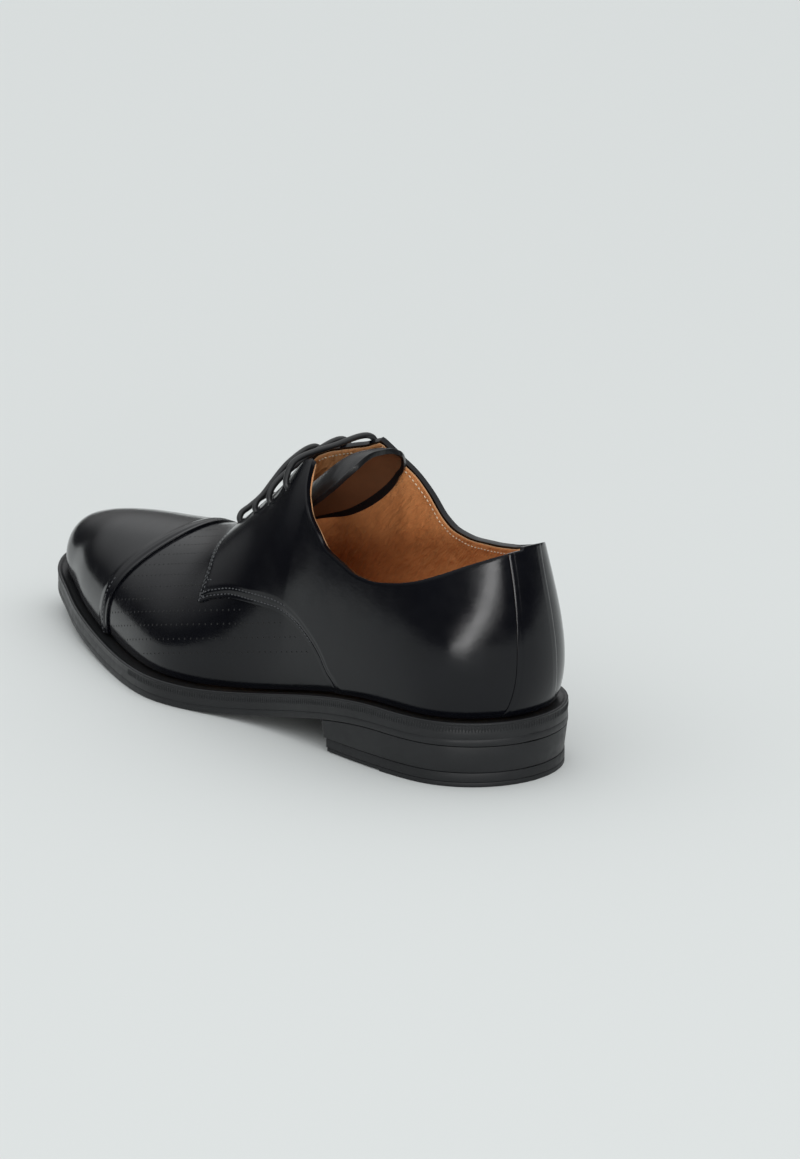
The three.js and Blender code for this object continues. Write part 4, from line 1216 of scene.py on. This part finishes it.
mesh, places = grid_mesh(TONGUE_COLS, TONGUE_LAID + TONGUE_FREE)
for vert, (i, j) in places.items():
    vert.co = eased_point(j, i) * MM
bmesh.ops.remove_doubles(mesh, verts=mesh.verts, dist=0.01 * MM)
mesh.normal_update()
if sum(face.normal.z for face in mesh.faces) < 0:
    bmesh.ops.reverse_faces(mesh, faces=mesh.faces)
inside = [vert for vert in mesh.verts if not vert.is_boundary]
for _ in range(TONGUE_PASSES):
    bmesh.ops.smooth_vert(mesh, verts=inside, factor=0.5, use_axis_x=True, use_axis_y=True,
                          use_axis_z=True)
for face in mesh.faces:
    spots = [places[vert] for vert in face.verts]
    column = sum(spot[0] for spot in spots) / len(spots)
    row = sum(spot[1] for spot in spots) / len(spots)
    from_edge = min(column, TONGUE_COLS - column, TONGUE_LAID + TONGUE_FREE - row)
    if from_edge < TONGUE_BINDING:
        face.material_index = 2
tongue = new_piece("tongue_leather", mesh, "tongue_leather", [TONGUE_CALF, TONGUE_SHADED_TAN, TONGUE_CALF],
                   "tongue")
thicken(tongue, TONGUE_WALL, TONGUE_RIM).modifiers["wall"].material_offset = 1
print("tongue faces:", len(tongue.data.polygons))

# %% [markdown]
# ## Eyelets
# The holes are punched through the facing with no metal, so each is a round with a pressed rim, and its
# dark inside is a flat disc painted dark as the hole's shade. The rim is a small circle spun round the
# hole's axis, as a lathe would turn it, and is set square to the leather.

# %% Eyelets
EYELETS = ((0.530, 3), (0.484, 3), (0.445, 2), (0.405, 1))
EYELET_RADIUS = 1.6
EYELET_RIM = 0.32


@lru_cache(maxsize=None)
def eyelet_at(side, share):
    """Place of an eyelet on the last, a fixed way in from the facing's edge."""
    def t_at(u):
        return root(lambda t: side_offset(last_point(u, t), u) - facing_gap(last_point(u, t).x, u)
                    - EYELET_INSET, 0.3, 1)
    w = root(lambda v: last_point(side * v, t_at(side * v)).x - at_length(share), 0.3, 0.8)
    return side * w, t_at(side * w)


def square_to(normal, place):
    """A matrix that stands a shape on the surface."""
    return Matrix.Translation(place) @ normal.to_track_quat("Z", "Y").to_matrix().to_4x4()


rims = bmesh.new()
holes = bmesh.new()
for share, _ in EYELETS:
    for side in (1, -1):
        u, t = eyelet_at(side, share)
        normal = last_normal(u, t)
        seat = square_to(normal, (last_point(u, t) + normal * (QUARTER_TOP + 0.02)) * MM)
        # A flat disc over the hole, painted dark as the hole's shade.
        bmesh.ops.create_circle(holes, segments=20, radius=EYELET_RADIUS * MM, cap_ends=True, matrix=seat)
        upright = Matrix.Translation((EYELET_RADIUS * MM, 0, 0)) @ Matrix.Rotation(math.pi / 2, 4, "X")
        ring = bmesh.ops.create_circle(rims, segments=8, radius=EYELET_RIM * MM, matrix=upright)
        edges = list({edge for vert in ring["verts"] for edge in vert.link_edges})
        bmesh.ops.spin(rims, geom=ring["verts"] + edges, axis=(0, 0, 1), cent=(0, 0, 0),
                       angle=2 * math.pi, steps=24, use_merge=True)
        fresh = [v for v in rims.verts if not v.tag]
        bmesh.ops.transform(rims, matrix=seat @ Matrix.Diagonal((1, 1, 0.6, 1)), verts=fresh)
        for vert in rims.verts:
            vert.tag = True
bmesh.ops.recalc_face_normals(rims, faces=rims.faces)
new_piece("eyelet_rims", rims, "upper_leather", BLACK_CALF)
new_piece("eyelet_hole_shades", holes, "upper_leather", HOLE_SHADE)
print("eyelets:", 2 * len(EYELETS))

# %% [markdown]
# ## Lace
# The lace is one round waxed cord. It goes down each hole, and over the throat it shows as four bars that
# arch from facing to facing, because the shoe isn't tied. A bar is a curve with a round section: its
# few points are placed over the leather, and a smooth line is drawn through them.

# %% Lace


def lace_path(share, arch):
    """The route of one bar: out of the outer eyelet, over both facings, into the inner one."""
    seat = LAY_GAP + LEATHER + 2 * GAP
    ends = []
    for side in (1, -1):
        u, t = eyelet_at(side, share)

        def lifted(part, height):
            up_t = lerp(t, top_edge(u), part)
            return last_point(u, up_t) + last_normal(u, up_t) * (seat + height)
        inside = last_point(u, t) - last_normal(u, t) * 1.0
        ends.append((inside, lifted(0.02, 0.1 * LACE_RADIUS), lifted(0.35, 1.3 * LACE_RADIUS),
                     lifted(1, 1.5 * LACE_RADIUS)))
    outer, inner = ends
    middle = outer[3].lerp(inner[3], 0.5) + Vector((0, 0, arch + 0.2 * LACE_RADIUS))
    return [*outer, middle, *reversed(inner)]


def through(points, steps=12):
    """A smooth line through points, which bends no more than it must (centripetal Catmull-Rom)."""
    padded = [points[0] * 2 - points[1], *points, points[-1] * 2 - points[-2]]
    line = []
    for k in range(len(points) - 1):
        a, b, c, d = padded[k:k + 4]
        t1 = math.sqrt((b - a).length)
        t2 = t1 + math.sqrt((c - b).length)
        t3 = t2 + math.sqrt((d - c).length)
        for step in range(steps):
            t = lerp(t1, t2, step / steps)
            ab = a * ((t1 - t) / t1) + b * (t / t1)
            bc = b * ((t2 - t) / (t2 - t1)) + c * ((t - t1) / (t2 - t1))
            cd = c * ((t3 - t) / (t3 - t2)) + d * ((t - t2) / (t3 - t2))
            abc = ab * ((t2 - t) / t2) + bc * (t / t2)
            bcd = bc * ((t3 - t) / (t3 - t1)) + cd * ((t - t1) / (t3 - t1))
            line.append(abc * ((t2 - t) / (t2 - t1)) + bcd * ((t - t1) / (t2 - t1)))
    return line + [points[-1]]


def lace_bar(number, share, arch):
    data = bpy.data.curves.new("lace_route", "CURVE")
    data.dimensions = "3D"
    data.bevel_depth = LACE_RADIUS * MM
    data.bevel_resolution = 4
    data.use_fill_caps = True
    spline = data.splines.new("POLY")
    path = through(lace_path(share, arch))
    spline.points.add(len(path) - 1)
    for point, place in zip(spline.points, path):
        point.co = (*(place * MM), 1)
    route = bpy.data.objects.new("lace_route", data)
    bpy.context.collection.objects.link(route)
    bpy.context.view_layer.update()
    shape = bmesh.new()
    shape.from_mesh(route.to_mesh())
    bpy.data.objects.remove(route)
    bmesh.ops.remove_doubles(shape, verts=shape.verts, dist=0.005 * MM)
    return new_piece(f"lace_{number}", shape, "lace_cord", LACE_CORD, f"lace_bar_{number}")


laces = [lace_bar(i + 1, share, arch) for i, (share, arch) in enumerate(EYELETS)]
print("lace bars:", len(laces))

# %% [markdown]
# ## Stitches
# A stitch is a small slug of thread that lies along the seam and sinks at both ends. One low sphere,
# drawn out and set along a line on the leather, is enough, because there are hundreds. The line is
# the piece's edge moved inward, and each stitch is dropped on the finished leather under it.

# %% Rows of thread
STITCH_PITCH = 1.95
STITCH_LONG = 1.35
STITCH_THICK = 0.31
STITCH_SEARCH = 4
SEWN_FROM = 2.5


def surface_of(piece):
    depsgraph = bpy.context.evaluated_depsgraph_get()
    return BVHTree.FromObject(piece, depsgraph)


def spaced(points, pitch):
    """Points at equal steps along a line, with the way on from each."""
    found = []
    left = 0.0
    for a, b in zip(points, points[1:]):
        length = (b - a).length
        while left < length:
            found.append((a.lerp(b, left / length), (b - a).normalized()))
            left += pitch
        left -= length
    return found


def sew(mesh, line, surface, inward, distance, sink=0.0, pitch=STITCH_PITCH, long=STITCH_LONG,
        thick=STITCH_THICK):
    """Set stitches beside a line; inward gives the way in from a point of it."""
    moved = []
    for k, p in enumerate(line):
        way = (line[min(k + 1, len(line) - 1)] - line[max(k - 1, 0)]).normalized()
        moved.append(p + inward(p, way) * distance)
    count = 0
    for p, way in spaced(moved, pitch):
        place, normal, _, gap = surface.find_nearest(p * MM)
        if place is None or gap > STITCH_SEARCH * MM:
            continue
        across = normal.cross(way).normalized()
        along = across.cross(normal).normalized()
        turn = Matrix((along, across, normal)).transposed().to_4x4()
        seat = Matrix.Translation(place - normal * sink * MM) @ turn
        size = Matrix.Diagonal((long / 2 * MM, thick * MM, thick * MM, 1))
        bmesh.ops.create_uvsphere(mesh, u_segments=6, v_segments=4, radius=1, matrix=seat @ size)
        count += 1
    return count


def inward_on_last(toward):
    """The way in from an edge: across the edge, along the surface, toward a given side."""
    def way_in(p, way):
        guess = toward(p)
        across = guess - way * guess.dot(way)
        return across.normalized()
    return way_in


mesh = bmesh.new()
outer_skin = surface_of(outer_quarter)
inner_skin = surface_of(inner_quarter)
count = 0
for side, foot, top, face in ((1, outer_foot, outer_top, outer_skin),
                              (-1, inner_foot, inner_top, inner_skin)):
    sewn_front = [p for p in foot if p.z - bed(p.x) > SEWN_FROM]
    up_and_back = inward_on_last(lambda p: Vector((-0.6, 0, 1)))
    down_and_out = inward_on_last(lambda p: Vector((0.0, side * 0.5, -1)))
    for at in FRONT_THREADS:
        count += sew(mesh, sewn_front, face, up_and_back, at)
    count += sew(mesh, top, face, down_and_out, COLLAR_THREAD)
print("stitches on the quarters:", count)
cap_face = surface_of(toe_cap)
seam = [last_point(cap_seam(1, k / 120), k / 120) for k in range(121)]
seam += [last_point(-cap_seam(-1, k / 120), k / 120) for k in range(119, -1, -1)]
to_toe = inward_on_last(lambda p: Vector((1, 0, 0)))
for at in CAP_ROWS_OF_THREAD:
    count += sew(mesh, seam, cap_face, to_toe, at)
strap_face = surface_of(strap)
for side in (1, -1):
    line = [last_point(side * strap_edge(side, k / 60), k / 60) for k in range(61)]
    line = [p for p in line if over_collar(p, side) < -1]
    to_middle = inward_on_last(lambda p: Vector((0, -side, 0)))
    count += sew(mesh, line, strap_face, to_middle, STRAP_THREAD)
STAY_LINE = (
    (0.460, 0.395), (0.463, 0.450), (0.463, 0.515), (0.461, 0.560), (0.450, 0.601), (0.4446, 0.625),
    (0.4235, 0.690), (0.407, 0.745), (0.392, 0.800), (0.378, 0.850),
)
TACK_LINE = ((0.503, 0.430), (0.484, 0.441))


def on_quarter(side, share, rise):
    """The point of the last at a share of the length and of the instep's height."""
    def over(p):
        return p.z - bed(p.x) - rise * INSTEP_RISE

    def t_at(w):
        return root(lambda t: over(last_point(side * w, t)), 0, 1, 16)
    w = root(lambda v: last_point(side * v, t_at(v)).x - at_length(share), 0.3, 0.7, 16)
    return last_point(side * w, t_at(w))


no_shift = lambda p, way: Vector((0, 0, 0))
for side, face in ((1, outer_skin), (-1, inner_skin)):
    stay = [on_quarter(side, share, rise) for share, rise in STAY_LINE]
    count += sew(mesh, through(stay, 6), face, no_shift, 0)
    tack = [on_quarter(side, share, rise) for share, rise in TACK_LINE]
    for shift in (0, 0.7, 1.4):
        count += sew(mesh, [p + Vector((0, 0, shift)) for p in tack], face, no_shift, 0, pitch=1.4)
new_piece("black_stitches", mesh, "upper_leather", BLACK_THREAD)
print("black stitches:", count)

# %% [markdown]
# The lining is closed to the upper along the collar with a cream thread, which shows only on the tan
# side. It follows the lining's own rim, one fixed distance down.

# %% Cream stitches of the lining
LINING_THREAD = 2.2
RIM_SAMPLES = 300
mesh = bmesh.new()
lining_face = surface_of(lining)
count = 0
for side in (1, -1):
    steps = [lerp(0.004, QUARTER_END, k / RIM_SAMPLES) for k in range(RIM_SAMPLES + 1)]
    line = [skin(side * w, top_edge(side * w) - LINING_DROP, -LINING_WALL - 0.4) for w in steps]
    down_in = inward_on_last(lambda p: Vector((0, 0, -1)))
    count += sew(mesh, line, lining_face, down_in, LINING_THREAD)
new_piece("cream_stitches", mesh, "upper_leather", CREAM_THREAD)
print("cream stitches:", count)

# %% [markdown]
# ## Pinholes
# Rows of pinholes are punched along the flat leather, side by side, before it is pulled over the last.
# They stay level with each other and run down into the welt toward the toe. Each is a small
# ring of few faces with a middle painted dark as the hole's shade, because a hole this small reads as a
# dark dot in a soft rim.

# %% Pinholes
HOLE_PITCH = 2.5
ROW_GAP = 5.6
ROW_COUNT = 15
ROW_FALL = 0.24
ROW_LEAN = 0.18
ROW_START = 2.6
HOLE_RADIUS = 0.42
HOLE_RING = 0.06
HOLE_DEEP = 0.02
HOLE_SEAT = 0.16
ARC_STEPS = 3200
ROW_SAMPLES = 200
ROW_LOWEST = 0.075
ROW_BREAK = 5
QUARTER_CLEAR = 3.0
CAP_CLEAR = 2.6


def row_height(p):
    """Height of a point over a plane that falls toward the toe and leans outward, as the rows do."""
    return p.z + ROW_FALL * p.x - ROW_LEAN * abs(p.y - top_y(1))


def row_levels(side):
    """Heights of the rows: even steps down the leather, measured at the middle of the vamp."""
    w = u_top((THROAT + CAP_CREST) / 2)
    levels = []
    far = 0.0
    before = last_point(side * w, 1)
    for k in range(1, ARC_STEPS):
        here = last_point(side * w, 1 - k / ARC_STEPS)
        far += (here - before).length
        before = here
        if far >= ROW_START + len(levels) * ROW_GAP:
            levels.append(row_height(here))
    return levels


def hole_line(side, level):
    """Points of one row of pinholes, from the quarter to the cap, with the leather's normals."""
    line = []
    for k in range(ROW_SAMPLES):
        w = lerp(VAMP_BACK + 0.04, cap_start + 0.02, k / (ROW_SAMPLES - 1))
        u = side * w
        over = lambda t: row_height(last_point(u, t)) - level
        if over(ROW_LOWEST) * over(1) > 0:
            continue
        t = root(over, ROW_LOWEST, 1, 14)
        p = last_point(u, t)
        if t > top_edge(u) or w > cap_seam(side, t) or over_quarter(p) > -QUARTER_CLEAR:
            continue
        before_throat = share_of(p.x) > THROAT + 0.02 or p.z - bed(p.x) < 0.5 * INSTEP_RISE
        if cap_distance(p) > CAP_CLEAR and before_throat:
            line.append((p, last_normal(u, t)))
    return line


mesh = bmesh.new()
count = 0
for side in (1, -1):
    for level in row_levels(side)[:ROW_COUNT]:
        line = hole_line(side, level)
        far = 0.0
        for (p, n), (q, _) in zip(line, line[1:]):
            far += (q - p).length
            if far < HOLE_PITCH or (q - p).length > ROW_BREAK:
                continue
            far = 0.0
            seat = square_to(n, (p + n * HOLE_SEAT) * MM)
            made = bmesh.ops.create_circle(mesh, segments=8, radius=HOLE_RADIUS * MM, cap_ends=True,
                                           matrix=seat)
            face = made["verts"][0].link_faces[0]
            bmesh.ops.inset_individual(mesh, faces=[face], thickness=HOLE_RING * MM, depth=HOLE_DEEP * MM)
            # The middle takes the painted shade of the hole.
            face.material_index = 1
            count += 1
new_piece("pinholes", mesh, "upper_leather", [BLACK_CALF, HOLE_SHADE])
print("pinholes:", count)

# %% [markdown]
# ## Hidden filling
# The cork between insole and midsole can't be seen in a whole shoe. It keeps its plain solid and only
# takes a cork finish.

# %% Cork
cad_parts["filler"].data.materials.clear()
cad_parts["filler"].data.materials.append(CORK)
print("cork on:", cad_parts["filler"].name)

# %% [markdown]
# ## Floor
# The shoe stands on plain pale paper. The floor is a matt round sheet of limited size, so that the sides
# of the leather mirror the dark horizon beyond it and stay black.

# %% Floor
FLOOR_RADIUS = 2.1
mesh = bmesh.new()
bmesh.ops.create_circle(mesh, cap_ends=True, segments=96, radius=FLOOR_RADIUS)
floor_data = bpy.data.meshes.new("floor")
mesh.to_mesh(floor_data)
mesh.free()
floor = bpy.data.objects.new("floor", floor_data)
bpy.context.collection.objects.link(floor)
floor_material, _, floor_shader = material_with("pale_floor", (0.735, 0.755, 0.745), 0.9)
floor_shader.inputs["Specular IOR Level"].default_value = 0.1
floor_data.materials.append(floor_material)
floor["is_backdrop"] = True
print("floor radius:", FLOOR_RADIUS, "m")

# %% [markdown]
# ## Room
# Polished black leather has hardly any colour of its own: it shows the room. The room here is a soft
# overhead sky that is dark near the horizon, with one broad glow beyond the toe for the sheen on the cap
# and vamp. The sky is a ramp over the height of the direction looked in, so it costs no lamps and throws
# no hard shadow.

# %% Room
SKY_STEPS = ((0.0, 0.03), (0.14, 0.05), (0.32, 0.50), (0.52, 0.92), (1.0, 1.25))
GLOW_SIDE = math.radians(-30)
GLOW_RISE = math.radians(15)
GLOW_SOFT = math.radians(20)
GLOW_FULL = math.radians(5)
GLOW_STRENGTH = 0.2
glow_way = Vector((math.cos(GLOW_SIDE), math.sin(GLOW_SIDE), math.tan(GLOW_RISE)))
world = bpy.data.worlds.new("studio")
world.use_nodes = True
sky_tree = world.node_tree
background = sky_tree.nodes["Background"]
way = sky_tree.nodes.new("ShaderNodeTexCoord")
height = sky_tree.nodes.new("ShaderNodeSeparateXYZ")
sky_tree.links.new(way.outputs["Generated"], height.inputs["Vector"])
ramp = sky_tree.nodes.new("ShaderNodeValToRGB")
for number, (place, light) in enumerate(SKY_STEPS):
    step = ramp.color_ramp.elements[number] if number < 2 else ramp.color_ramp.elements.new(place)
    step.position = place
    step.color = (light * 0.97, light * 0.99, light, 1)
sky_tree.links.new(height.outputs["Z"], ramp.inputs["Fac"])
toward = sky_tree.nodes.new("ShaderNodeVectorMath")
toward.operation = "DOT_PRODUCT"
toward.inputs[1].default_value = glow_way.normalized()
sky_tree.links.new(way.outputs["Generated"], toward.inputs[0])
glow = sky_tree.nodes.new("ShaderNodeMapRange")
glow.interpolation_type = "SMOOTHSTEP"
glow.inputs["From Min"].default_value = math.cos(GLOW_SOFT)
glow.inputs["From Max"].default_value = math.cos(GLOW_FULL)
glow.inputs["To Min"].default_value = 0
glow.inputs["To Max"].default_value = GLOW_STRENGTH
sky_tree.links.new(toward.outputs["Value"], glow.inputs["Value"])
total = sky_tree.nodes.new("ShaderNodeVectorMath")
total.operation = "ADD"
sky_tree.links.new(ramp.outputs["Color"], total.inputs[0])
sky_tree.links.new(glow.outputs["Result"], total.inputs[1])
sky_tree.links.new(total.outputs["Vector"], background.inputs["Color"])
bpy.context.scene.world = world
bpy.context.scene.view_settings.view_transform = "Standard"
print("room: sky steps", len(SKY_STEPS))

# %% [markdown]
# ## Heel panel
# One long low light panel stands behind the camera, tilted a little. The heel's curve mirrors it as the
# slanting highlight of the photo. A real studio would use a strip of lit cloth in the same place.

# %% Heel panel
PANEL_AWAY = 2.7
PANEL_WAY = math.radians(138)
PANEL_RISE = math.radians(5.4)
PANEL_WIDE = math.radians(82)
PANEL_HIGH = math.radians(5.5)
PANEL_TILT = math.radians(14)
PANEL_GLOW = 12
HEEL_SPOT = 0.06
width = 2 * PANEL_AWAY * math.tan(PANEL_WIDE / 2)
height = 2 * PANEL_AWAY * math.tan(PANEL_HIGH / 2)
panel_data = bpy.data.lights.new("heel_panel", "AREA")
panel_data.shape = "RECTANGLE"
panel_data.size = width
panel_data.size_y = height
panel_data.energy = PANEL_GLOW * math.pi * width * height
heel_panel = bpy.data.objects.new("heel_panel", panel_data)
bpy.context.collection.objects.link(heel_panel)
panel_way = Vector((math.cos(PANEL_WAY), math.sin(PANEL_WAY), math.tan(PANEL_RISE)))
heel_panel.location = Vector((0, 0, HEEL_SPOT)) + panel_way * PANEL_AWAY
facing = (-panel_way).to_track_quat("-Z", "Y").to_matrix()
heel_panel.rotation_euler = (facing @ Matrix.Rotation(PANEL_TILT, 3, "Z")).to_euler()
print("heel panel:", round(width, 2), "by", round(height, 2), "m")

# %% [markdown]
# ## Sizes
# The dressed shoe has to stay the size of its solids. The two boxes are written side by side, so that a
# piece that grew past them shows at once.

# %% Sizes and finish
dressed_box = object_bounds()
plain = lambda box: [[round(float(v), 5) for v in corner] for corner in box]
{"cad": plain(cad_box), "dressed": plain(dressed_box)}
print("cad", plain(cad_box), "dressed", plain(dressed_box))
